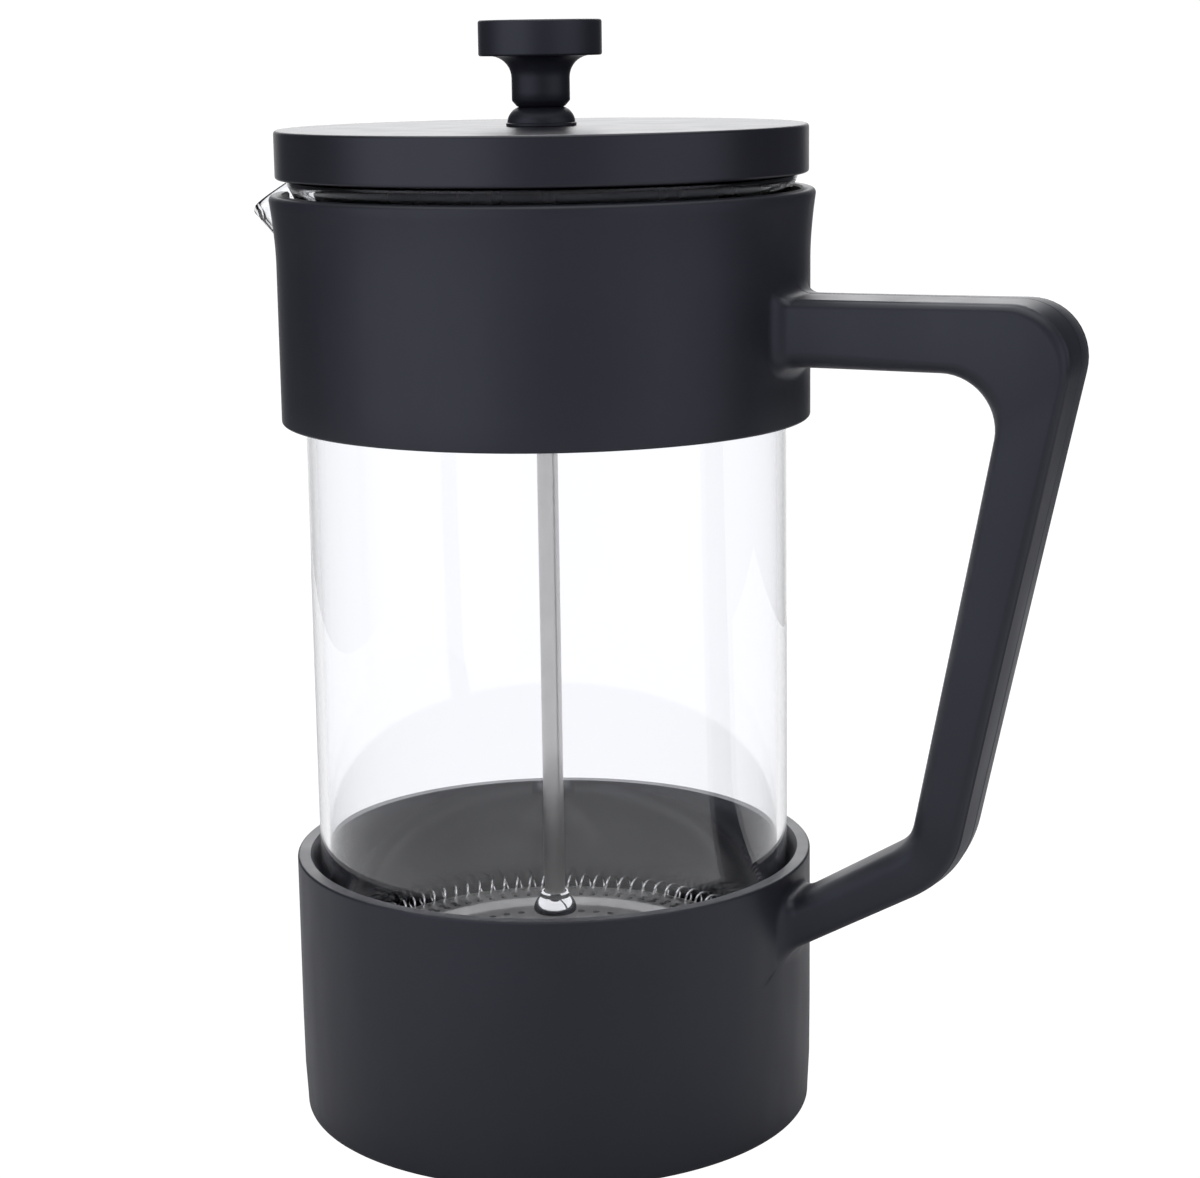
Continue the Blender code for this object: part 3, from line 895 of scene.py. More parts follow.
@dataclass(frozen=True)
class PaleFloor:
    """Matt pale floor that the camera sees as bright as the backdrop, with no shadow on it."""

    glow: float
    name: str = "pale_floor"
    colour: Colour = (0.62, 0.62, 0.62)
    worn: Colour = (0.58, 0.58, 0.59)
    patch: float = 0.2

    def build(self) -> bpy.types.Material:
        """Makes the material.

        Returns:
            The material.
        """
        shader = Shader(self.name)
        shader.set(Specular_IOR_Level=0.1, Roughness=0.9)
        shader.tint(shader.noise(self.patch, 2.0), self.colour, self.worn)
        rays = shader.add("ShaderNodeLightPath").outputs
        seen = shader.math("MAXIMUM", rays["Is Camera Ray"], rays["Is Transmission Ray"])
        white = shader.add("ShaderNodeEmission", {"Strength": self.glow})
        either = {0: seen, 1: shader.surface.outputs[0], 2: white.outputs[0]}
        mixed = shader.add("ShaderNodeMixShader", either)
        shader.tree.links.new(mixed.outputs[0], shader.tree.nodes["Material Output"].inputs["Surface"])
        return shader.material


@dataclass(frozen=True)
class Finishes:
    """Every finish of the press, made once."""

    black: Finish
    lid: Finish
    dark: Finish
    glass: Finish
    silicone: Finish
    satin: Finish
    sheet: Finish
    polished: Finish
    woven: Finish

    @classmethod
    def make(cls) -> "Finishes":
        """Builds the materials.

        Returns:
            The finishes.
        """
        black = MouldedPlastic("satin_plastic", (0.0150, 0.0155, 0.021), (0.018, 0.0185, 0.025), 0.38, 0.46)
        lid = MouldedPlastic("lid_plastic", (0.0130, 0.0130, 0.018), (0.016, 0.016, 0.021), 0.29, 0.35)
        dark = MouldedPlastic("insert_plastic", (0.010, 0.010, 0.013), (0.012, 0.012, 0.015), 0.22, 0.30)
        satin = TurnedSteel("satin_steel", (0.52, 0.51, 0.505), 0.285, 0.315)
        sheet = TurnedSteel("sheet_steel", (0.86, 0.85, 0.84), 0.48, 0.54)
        polished = TurnedSteel("polished_steel", (0.84, 0.84, 0.85), 0.08, 0.16, mark_depth=0.0006 * MM)
        return cls(
            black=Finish(black.build(), Slot.BLACK_PLASTIC),
            lid=Finish(lid.build(), Slot.BLACK_PLASTIC),
            dark=Finish(dark.build(), Slot.DARK_PLASTIC),
            glass=Finish(BeakerGlass().build(), Slot.GLASS),
            silicone=Finish(SoftSilicone().build(), Slot.SILICONE),
            satin=Finish(satin.build(), Slot.SATIN_STEEL),
            sheet=Finish(sheet.build(), Slot.POLISHED_STEEL),
            polished=Finish(polished.build(), Slot.POLISHED_STEEL),
            woven=Finish(WovenWire().build(), Slot.WOVEN_STEEL),
        )


# ---- frame -------------------------------------------------------------------------------------


@dataclass
class Handle:
    """The grip, lofted between an outline along its crown and one along its inner side.

    Outlines are in the XZ plane in millimetres, as corners with the radius of each bend.
    """

    outer_bends: tuple = (((115.5, 175.6), 11.8), ((90.6, 59.2), 21.0))
    inner_bends: tuple = (((99.7, 161.2), 10.6), ((80.7, 66.3), 10.5))
    outer_roots: tuple = ((52.7, 175.6), (52.7, 38.4))
    inner_roots: tuple = ((52.7, 161.2), (52.7, 49.7))
    half_widths: tuple = (10.0, 10.8, 9.3, 8.0, 7.6)
    crowns: tuple = (2.7, 2.8, 2.8, 2.5, 2.4)
    groove: float = 0.28 * MM
    groove_shares: tuple = (0.955, 0.90)
    shoulder_radius: float = 2.2 * MM
    shoulder_start: float = 24.0
    inner_edge_radius: float = 3.6 * MM
    inner_swell: float = 0.35 * MM
    ridge: float = 0.10 * MM
    root_fillet: float = 3.2 * MM
    path_steps: int = 14
    fillet_steps: int = 8
    shoulder_steps: int = 5
    edge_steps: int = 7
    crown_shares: tuple = (0.85, 0.76, 0.62, 0.42, 0.22, 0.05, 0.025)
    crown_power: float = 1.8
    side_segments: int = 14

    @property
    def across_segments(self) -> int:
        """Segments over the crown from one shoulder to the other."""
        return 2 * (len(self.crown_shares) + len(self.groove_shares)) + 2

    def path(self, start: Point2, bends: Sequence, end: Point2) -> list[Vector]:
        """Points along one outline, in equal shares of each straight and each bend.

        Args:
            start: point in the upper wall.
            bends: corners with radii.
            end: point in the lower wall.

        Returns:
            The points in metres, as (x, z).
        """
        nodes = [Vector(start), *(Vector(point) for point, _ in bends), Vector(end)]
        points = [nodes[0]]
        steps = self.path_steps
        for i, (_, radius) in enumerate(bends):
            corner = nodes[i + 1]
            back = (nodes[i] - corner).normalized()
            ahead = (nodes[i + 2] - corner).normalized()
            half = back.angle(ahead) / 2
            centre = corner + (back + ahead).normalized() * radius / math.sin(half)
            first = corner + back * radius / math.tan(half)
            spoke = first - centre
            sweep = spoke.angle_signed(corner + ahead * radius / math.tan(half) - centre)
            begin = points[-1]
            points += [begin.lerp(first, k / steps) for k in range(1, steps + 1)]
            for k in range(1, steps + 1):
                points.append(centre + Matrix.Rotation(-sweep * k / steps, 2) @ spoke)
        begin = points[-1]
        points += [begin.lerp(nodes[-1], k / steps) for k in range(1, steps + 1)]
        return [point * MM for point in points]

    def eased(self, values: Sequence[float], share: float) -> float:
        """A size part of the way along the grip, eased between evenly spaced values.

        Args:
            values: the sizes in millimetres, from the upper end to the lower one.
            share: how far along the grip, from 0 to 1.

        Returns:
            The size in metres.
        """
        place = share * (len(values) - 1)
        i = min(int(place), len(values) - 2)
        t = place - i
        t = t * t * (3 - 2 * t)
        return (values[i] * (1 - t) + values[i + 1] * t) * MM

    def section(self, half_depth: float, half_width: float, crown: float) -> list[Point2]:
        """Outline of the grip across its length.

        The crown comes first, from +side to -side, then the -side flank, the inner face and the
        +side flank, with as many segments on opposite sides.

        Args:
            half_depth: half the distance from the crown's ridge to the inner face.
            half_width: half the distance between the flanks.
            crown: how far the flanks' outer edges lie inside the ridge.

        Returns:
            Points (outwards, sideways).
        """
        shoulder = half_depth - crown
        flank = self.flank(shoulder, -half_depth, half_width)
        shares = (*self.crown_shares, 0.0, *(-share for share in reversed(self.crown_shares)))
        low, edge = flank[0]
        over = [flank[0], *((low - self.groove, share * edge) for share in self.groove_shares)]
        for share in shares:
            rise = 1 - abs(share) ** self.crown_power
            ridge = self.ridge if share == 0.0 else 0.0
            over.append((low + (half_depth - low) * rise + ridge, share * edge))
        over += [(low - self.groove, -share * edge) for share in reversed(self.groove_shares)]
        far_flank = [(out, -side) for out, side in flank]
        inner_out, inner_side = flank[-1]
        count = self.across_segments
        inner = []
        for i in range(1, count):
            share = 1 - 2 * i / count
            swell = self.inner_swell * (1 - share * share)
            inner.append((inner_out - swell, -share * inner_side))
        return over + far_flank + inner + list(reversed(flank))[:-1]

    def flank(self, shoulder: float, inner: float, half_width: float) -> list[Point2]:
        """Points down the +side flank, from the crown's edge to the inner face.

        Args:
            shoulder: outwards place of the crown's edge.
            inner: outwards place of the inner face.
            half_width: sideways place of the flank.

        Returns:
            side_segments + 1 points.
        """
        top, low = self.shoulder_radius, self.inner_edge_radius
        points = arc((shoulder, half_width - top), top, self.shoulder_start, 90, self.shoulder_steps)
        straight_end = (inner + low, half_width)
        start = points[-1]
        straights = self.side_segments - self.shoulder_steps - self.edge_steps
        for k in range(1, straights):
            share = k / straights
            points.append((start[0] + (straight_end[0] - start[0]) * share, half_width))
        edge_centre = (inner + low + self.inner_swell, half_width - low)
        return points + arc(edge_centre, low, 90, 180, self.edge_steps)

    def rings(self) -> list[list[Vector]]:
        """Rings of points along the whole grip.

        Returns:
            The rings, from inside the upper wall to inside the lower one.
        """
        outer = self.path(self.outer_roots[0], self.outer_bends, self.outer_roots[1])
        inner = self.path(self.inner_roots[0], self.inner_bends, self.inner_roots[1])
        rings = []
        for i, (far, near) in enumerate(zip(outer, inner)):
            middle = (far + near) / 2
            outwards = (far - near).normalized()
            half_depth = (far - near).length / 2
            share = i / (len(outer) - 1)
            width = self.eased(self.half_widths, share)
            outline = self.section(half_depth, width, self.eased(self.crowns, share))
            places = [(middle + outwards * out, side) for out, side in outline]
            rings.append([Vector((place.x, side, place.y)) for place, side in places])
        return rings

    def root(self, wall_ring: list[Vector], grip_ring: list[Vector], wall: float) -> list[list[Vector]]:
        """Rings of the fillet between the grip and the round wall that it grows out of.

        Args:
            wall_ring: the grip's ring that lies inside the wall.
            grip_ring: the ring at the other end of that straight.
            wall: radius of the wall.

        Returns:
            Rings from the wall outwards.
        """
        rings = []
        middle = sum(wall_ring, Vector()) / len(wall_ring)
        for step in range(self.fillet_steps, -1, -1):
            angle = TURN / 4 * step / self.fillet_steps
            distance = self.root_fillet * (1 - math.sin(angle))
            spread = self.root_fillet * (1 - math.cos(angle))
            ring = []
            for inside, outside in zip(wall_ring, grip_ring):
                along = (outside - inside).normalized()
                touch = slide(inside, along, wall)
                radial = Vector((touch.x, touch.y, 0.0)).normalized()
                away = inside - middle
                away = Vector((0.0, away.y, away.z))
                away = (away - radial * away.dot(radial)).normalized()
                ring.append(slide(touch + away * spread, along, wall + distance))
            rings.append(ring)
        return rings


def slide(point: Vector, along: Vector, radius: float) -> Vector:
    """Moves a point along a direction until it is a given distance from the axis.

    Args:
        point: where it starts.
        along: the direction.
        radius: the distance from the Z axis that it ends at, on the +X side.

    Returns:
        The moved point.
    """
    a = along.x**2 + along.y**2
    b = 2 * (point.x * along.x + point.y * along.y)
    c = point.x**2 + point.y**2 - radius**2
    return point + along * (-b + math.sqrt(b * b - 4 * a * c)) / (2 * a)


@dataclass
class TurnedWall:
    """A band turned round the axis, with a window in its outer face for the grip to grow from."""

    shape: bmesh.types.BMesh
    profile: list[Point2]
    window_rows: tuple[int, int]
    window_columns: int
    columns: int = STEPS
    rows: list[Loop] = field(default_factory=list)

    def build(self) -> "TurnedWall":
        """Adds the band's vertices and faces, leaving the window open.

        Returns:
            The band itself.
        """
        for r, z in self.profile:
            if r < WELD:
                self.rows.append([self.shape.verts.new((0.0, 0.0, z))] * self.columns)
                continue
            ring = []
            for j in range(self.columns):
                angle = TURN * j / self.columns
                ring.append(self.shape.verts.new((r * math.cos(angle), r * math.sin(angle), z)))
            self.rows.append(ring)
        for i, first in enumerate(self.rows):
            second = self.rows[(i + 1) % len(self.rows)]
            for j in range(self.columns):
                self.add_face(i, j, first, second)
        return self

    def add_face(self, i: int, j: int, first: Loop, second: Loop) -> None:
        """Adds the face between two rows at a column, unless it is in the window or has no size.

        Args:
            i: number of the first row.
            j: number of the column.
            first: the first row's vertices.
            second: the next row's vertices.
        """
        half = self.window_columns // 2
        in_rows = self.window_rows[0] <= i < self.window_rows[1]
        if in_rows and (j < half or j >= self.columns - half):
            return
        k = (j + 1) % self.columns
        corners = list(dict.fromkeys((first[j], first[k], second[k], second[j])))
        if len(corners) > 2:
            self.shape.faces.new(corners)

    def window_loop(self, crown_up: bool) -> Loop:
        """The window's edge, in the order of the grip's section.

        Args:
            crown_up: whether the grip's crown is at the window's upper edge.

        Returns:
            Its vertices, from the +Y corner on the crown's side.
        """
        half = self.window_columns // 2
        top, bottom = self.window_rows
        crown, inner = (top, bottom) if crown_up else (bottom, top)
        step = 1 if inner > crown else -1
        across = [self.rows[crown][j % self.columns] for j in range(half, -half, -1)]
        down = [self.rows[i][-half] for i in range(crown, inner, step)]
        back = [self.rows[inner][j % self.columns] for j in range(-half, half)]
        up = [self.rows[i][half] for i in range(inner, crown, -step)]
        return across + down + back + up


@dataclass
class Frame:
    """Base cup, collar and grip, moulded in one piece.

    The tuples are stretches of the two outlines in millimetres, as points out from a radius and
    up from a height.
    """

    workshop: Workshop
    finishes: Finishes
    handle: Handle = field(default_factory=Handle)
    wall_radius: float = 54.9 * MM
    base_rim_z: float = 56.2 * MM
    base_window: Point2 = (55.2 * MM, 34.6 * MM)
    collar_window: Point2 = (181.6 * MM, 155.2 * MM)
    collar_bottom_z: float = 148.9 * MM
    collar_top_z: float = 195.6 * MM
    lip_radius: float = 56.0 * MM
    lip_round: float = 1.1 * MM
    inner_radius: float = 50.6 * MM
    collar_mouth: float = 53.0 * MM
    cup_mouth: float = 52.2 * MM
    cup_floor: float = 3.4 * MM
    foot_inner: float = 49.5 * MM
    hub_radius: float = 9.0 * MM
    edge_round: float = 0.5 * MM
    heel_inset: float = 2.0 * MM
    heel_round: float = 1.5 * MM
    floor_round: float = 2.0 * MM
    flare_steps: int = 8
    flare_power: float = 1.7
    heel: tuple = ((0.0, 22.0), (-0.1, 10.0), (-0.45, 3.0))
    foot: tuple = ((0.3, 0.0), (0.0, 0.2), (-0.5, 1.2))
    hub: tuple = ((0.5, 1.2), (0.0, 0.2), (-0.3, 0.0))
    cup_inside: tuple = ((0.0, 20.0), (0.0, 30.0))
    cup_step: tuple = ((0.1, -2.6),)
    cup_lip: tuple = ((-0.4, -0.5), (0.0, 0.0))
    collar_foot: tuple = ((0.4, 0.0), (0.0, 0.4))
    collar_inside: tuple = ((0.0, 160.0), (0.0, 175.0), (0.0, 186.0))
    collar_step: tuple = ((-0.3, 191.5), (0.0, 193.0))
    collar_lip: tuple = ((0.0, -0.4), (0.4, 0.0))
    ribs: int = 8
    rib_half_width: float = 0.9 * MM
    notch_radius: float = 15.0 * MM
    notch_z: float = 184.0 * MM
    cushion_hole: float = 30.0 * MM
    cushion_edge: float = 0.7 * MM

    def wall(self, high: float, low: float) -> list[Point2]:
        """Rows of the straight wall down a window, evenly spaced."""
        count = self.handle.side_segments
        return [(self.wall_radius, high + (low - high) * i / count) for i in range(count + 1)]

    def cup_profile(self) -> tuple[list[Point2], tuple[int, int]]:
        """Outline of the base cup, from the rim down the outside.

        Returns:
            The outline, and the rows between which its window lies.
        """
        r, inner, top = self.wall_radius, self.inner_radius, self.base_rim_z
        edge, heel, corner = self.edge_round, self.heel_round, self.floor_round
        rim = arc((r - edge, top - edge), edge, 90, 0, 5)
        wall = self.wall(*self.base_window)
        outside = placed(self.heel, r) + arc((r - self.heel_inset, heel), heel, 0, -90, 6)
        under = placed(self.foot, self.foot_inner) + placed(self.hub, self.hub_radius)
        floor = [(0.0, 0.0), (0.0, self.cup_floor)]
        floor += arc((inner - corner, self.cup_floor + corner), corner, -90, 0, 6)
        inside = placed(self.cup_inside, inner) + placed(self.cup_step, inner, top)
        inside += placed(self.cup_lip, self.cup_mouth, top)
        profile = rim + wall + outside + under + floor + inside
        return profile, (len(rim), len(rim) + len(wall) - 1)

    def collar_profile(self) -> tuple[list[Point2], tuple[int, int]]:
        """Outline of the collar, from its lip down the outside.

        Returns:
            The outline, and the rows between which its window lies.
        """
        top, low, r = self.collar_top_z, self.collar_bottom_z, self.wall_radius
        lip_z = top - self.lip_round
        lip = arc((self.lip_radius - self.lip_round, lip_z), self.lip_round, 90, 0, 6)
        flare = []
        for i in range(1, self.flare_steps):
            share = 1 - i / self.flare_steps
            z = self.collar_window[0] + (lip_z - self.collar_window[0]) * share
            flare.append((r + (self.lip_radius - r) * share**self.flare_power, z))
        wall = self.wall(*self.collar_window)
        edge = arc((r - self.edge_round, low + self.edge_round), self.edge_round, 0, -90, 5)
        inner = placed(self.collar_foot, self.inner_radius, low)
        inner += placed(self.collar_inside, self.inner_radius)
        inner += placed(self.collar_step, self.collar_mouth)
        inner += placed(self.collar_lip, self.collar_mouth, top)
        before = lip + flare
        return before + wall + edge + inner, (len(before), len(before) + len(wall) - 1)

    def attach(self, shape: bmesh.types.BMesh, wall: TurnedWall, rings: list[list[Vector]],
               crown_up: bool) -> Loop:
        """Joins the fillet's rings to a wall's window.

        Args:
            shape: the frame's bmesh.
            wall: the wall with the window.
            rings: the fillet's rings from the wall outwards.
            crown_up: whether the grip's crown is at the window's upper edge.

        Returns:
            The last ring's vertices.
        """
        loop = wall.window_loop(crown_up)
        between = []
        for vert, point in zip(loop, rings[0]):
            middle = (vert.co + point) / 2
            flat = math.hypot(middle.x, middle.y)
            scale = self.wall_radius / flat
            between.append(shape.verts.new((middle.x * scale, middle.y * scale, middle.z)))
        bridge(shape, loop, between)
        return loft(shape, between, rings)

    def build_shell(self) -> bpy.types.Object:
        """Builds cup, collar and grip as one closed mesh.

        Returns:
            The new object.
        """
        shape = bmesh.new()
        across = self.handle.across_segments
        cup = TurnedWall(shape, *self.cup_profile(), across).build()
        collar = TurnedWall(shape, *self.collar_profile(), across).build()
        rings = self.handle.rings()
        steps = self.handle.path_steps
        upper = self.handle.root(rings[0], rings[steps], self.wall_radius)
        lower = self.handle.root(rings[-1], rings[-1 - steps], self.wall_radius)
        upper_end = self.attach(shape, collar, upper, True)
        lower_end = self.attach(shape, cup, lower, False)
        clear = self.wall_radius + self.handle.root_fillet + 1 * MM
        middle = [points for points in rings if min(point.x for point in points) > clear]
        bridge(shape, loft(shape, upper_end, middle), lower_end)
        return object_from("press_frame", shape)

    def notch_tool(self) -> bpy.types.Object:
        """The notch that the pouring lip passes through.

        Returns:
            The notch as a closed body.
        """
        outline = arc((0.0, self.notch_z), self.notch_radius, 180, 360, 32)
        above = self.collar_top_z + 4 * MM
        outline += [(self.notch_radius, above), (-self.notch_radius, above)]
        reach = 8.0 * MM
        return prism("notch", outline, towards_lip, self.wall_radius - reach, self.wall_radius + reach)

    def rib_tool(self) -> bpy.types.Object:
        """One rib of the base's underside.

        Returns:
            The rib as a closed body.
        """
        half, low = self.rib_half_width, 0.2 * MM
        outline = [(-half, low), (half, low), (half, 2.0 * MM), (-half, 2.0 * MM)]
        return prism("rib", outline, towards_handle, self.hub_radius - 2 * MM, self.foot_inner + 0.6 * MM)

    def build(self) -> None:
        """Builds the frame and its cushion."""
        black = self.finishes.black
        obj = self.build_shell()
        self.workshop.row(obj, self.notch_tool(), RowCut.OPEN, 1, black)
        self.workshop.row(obj, self.rib_tool(), RowCut.JOIN, self.ribs, black, math.pi / self.ribs)
        hand_over(obj, black, Body.FRAME, "frame")
        self.build_cushion()

    def build_cushion(self) -> None:
        """Builds the soft ring in the cup that the glass stands on."""
        edge = self.cushion_edge
        outline = ring_outline(self.cushion_hole, Extent.of("beaker_cushion"), edge, edge)
        silicone = self.finishes.silicone
        self.workshop.piece("glass_cushion", outline, silicone, Body.FRAME, "beaker_cushion")


# ---- beaker ------------------------------------------------------------------------------------


@dataclass
class Beaker:
    """The glass: a straight beaker with a flared, rounded rim that runs out into a pouring lip."""

    finishes: Finishes
    radius: float = 50.0 * MM
    wall: float = 2.0 * MM
    corner: float = 5.0 * MM
    floor: float = 2.6 * MM
    punt: float = 0.7 * MM
    punt_radius: float = 27.0 * MM
    lip_tip: float = 67.0 * MM
    lip_start: float = 170.0 * MM
    lip_drop: float = 7.6 * MM
    lip_half_angle: float = math.radians(16.5)
    lip_ease: float = 0.15
    rim_flare: float = 2.2 * MM
    flare_start: float = 0.75
    straight_heights: tuple = (40.0, 80.0, 120.0, 150.0)
    rim_shares: tuple = (0.0, 0.15, 0.3, 0.45, 0.6, 0.72, 0.8, 0.86, 0.91, 0.95, 0.98)
    lip_wall: float = 0.985  # share of the wall's thickness that is left in the lip
    bead_steps: int = 8
    punt_steps: int = 7
    lip_columns: int = 48
    wall_columns: int = 144
    sharp_degrees: float = 60.0

    def angles(self) -> list[float]:
        """Angles of the columns from the middle of the lip, closer together across it.

        Returns:
            The angles in radians.
        """
        edge = self.lip_half_angle
        fine = [-edge + 2 * edge * i / self.lip_columns for i in range(self.lip_columns)]
        rest = TURN - 2 * edge
        return fine + [edge + rest * i / self.wall_columns for i in range(self.wall_columns)]

    def lip_share(self, angle: float) -> float:
        """How far a direction belongs to the pouring lip.

        Args:
            angle: angle from the lip.

        Returns:
            1 in the middle of the lip, falling to 0 at its two sides.
        """
        angle = math.remainder(angle, TURN)
        if abs(angle) > self.lip_half_angle:
            return 0.0
        return math.cos(TURN / 4 * angle / self.lip_half_angle) ** 2

    def wall_point(self, angle: float, share: float, rim_z: float) -> Point2:
        """A point of the outer face in the zone that runs out into the lip and the rim.

        Args:
            angle: angle from the lip.
            share: 0 where the zone starts and 1 at the rim.
            rim_z: height of the rim.

        Returns:
            The point (r, z).
        """
        lip = self.lip_share(angle)
        top = rim_z - self.lip_drop * lip
        z = self.lip_start + (top - self.lip_start) * share
        past_start = max(0.0, (share - self.flare_start) / (1 - self.flare_start))
        flare = self.rim_flare * (1 - lip) * past_start**2
        ease = self.lip_ease
        slope = (math.hypot(share, ease) - ease) / (math.hypot(1.0, ease) - ease)
        return self.radius + flare + (self.lip_tip - self.radius) * lip * slope, z

    def column(self, angle: float, low: float, rim_z: float) -> list[Point2]:
        """The glass's outline at one angle, from the middle of the bottom round to the floor.

        Args:
            angle: angle from the lip.
            low: height of the bottom.
            rim_z: height of the rim.

        Returns:
            Points (r, z), of which the first and the last lie on the axis.
        """
        r, corner = self.radius, self.corner
        bottom = self.dished(low)
        heel = arc((r - corner, low + corner), corner, -90, 0, 8)
        straight = [(r, z * MM) for z in self.straight_heights]
        half = self.wall / 2
        outer = [self.wall_point(angle, share, rim_z - half) for share in self.rim_shares]
        end = Vector(self.wall_point(angle, 1.0, rim_z - half))
        along = (end - Vector(outer[-1])).normalized()
        inwards = Vector((-along.y, along.x))
        bead = []
        for k in range(self.bead_steps + 1):
            turn = math.pi * k / self.bead_steps
            spoke = along * half * math.sin(turn) - inwards * half * math.cos(turn)
            bead.append(tuple(end + inwards * half + spoke))
        inner = [(point[0] - self.wall * self.lip_wall, point[1]) for point in reversed(outer)]
        inner_straight = [(r - self.wall, z) for _, z in reversed(straight)]
        floor_z = low + self.floor
        inner_corner = corner - self.wall
        inner_heel = arc((r - corner, floor_z + inner_corner), inner_corner, 0, -90, 6)
        inside = self.dished(floor_z)[::-1]
        return bottom + heel + straight + outer + bead + inner + inner_straight + inner_heel + inside

    def dished(self, z: float) -> list[Point2]:
        """Points of a slightly domed disc.

        Args:
            z: height of its edge.

        Returns:
            Points (r, z) from the axis outwards.
        """
        points = []
        for i in range(self.punt_steps + 1):
            share = i / self.punt_steps
            rise = self.punt * (0.5 + 0.5 * math.cos(math.pi * share))
            points.append((self.punt_radius * share, z + rise))
        return points

    def build(self) -> None:
        """Builds the beaker."""
        extent = Extent.of("beaker")
        shape = bmesh.new()
        columns: list[Loop] = []
        ends: list[bmesh.types.BMVert] = []
        for angle in self.angles():
            outline = self.column(angle, extent.low, extent.high)
            out = Vector((-math.cos(angle), -math.sin(angle), 0.0))
            if not ends:
                ends = [shape.verts.new((0.0, 0.0, outline[k][1])) for k in (0, -1)]
            inner = [shape.verts.new(out * r + Vector((0.0, 0.0, z))) for r, z in outline[1:-1]]
            columns.append([ends[0], *inner, ends[1]])
        for first, second in zip(columns, columns[1:] + columns[:1]):
            for i in range(len(first) - 1):
                corners = dict.fromkeys((first[i], first[i + 1], second[i + 1], second[i]))
                shape.faces.new(list(corners))
        obj = soften(object_from("glass_beaker", shape), self.sharp_degrees)
        hand_over(obj, self.finishes.glass, Body.BEAKER, "beaker")


# ---- lid ---------------------------------------------------------------------------------------


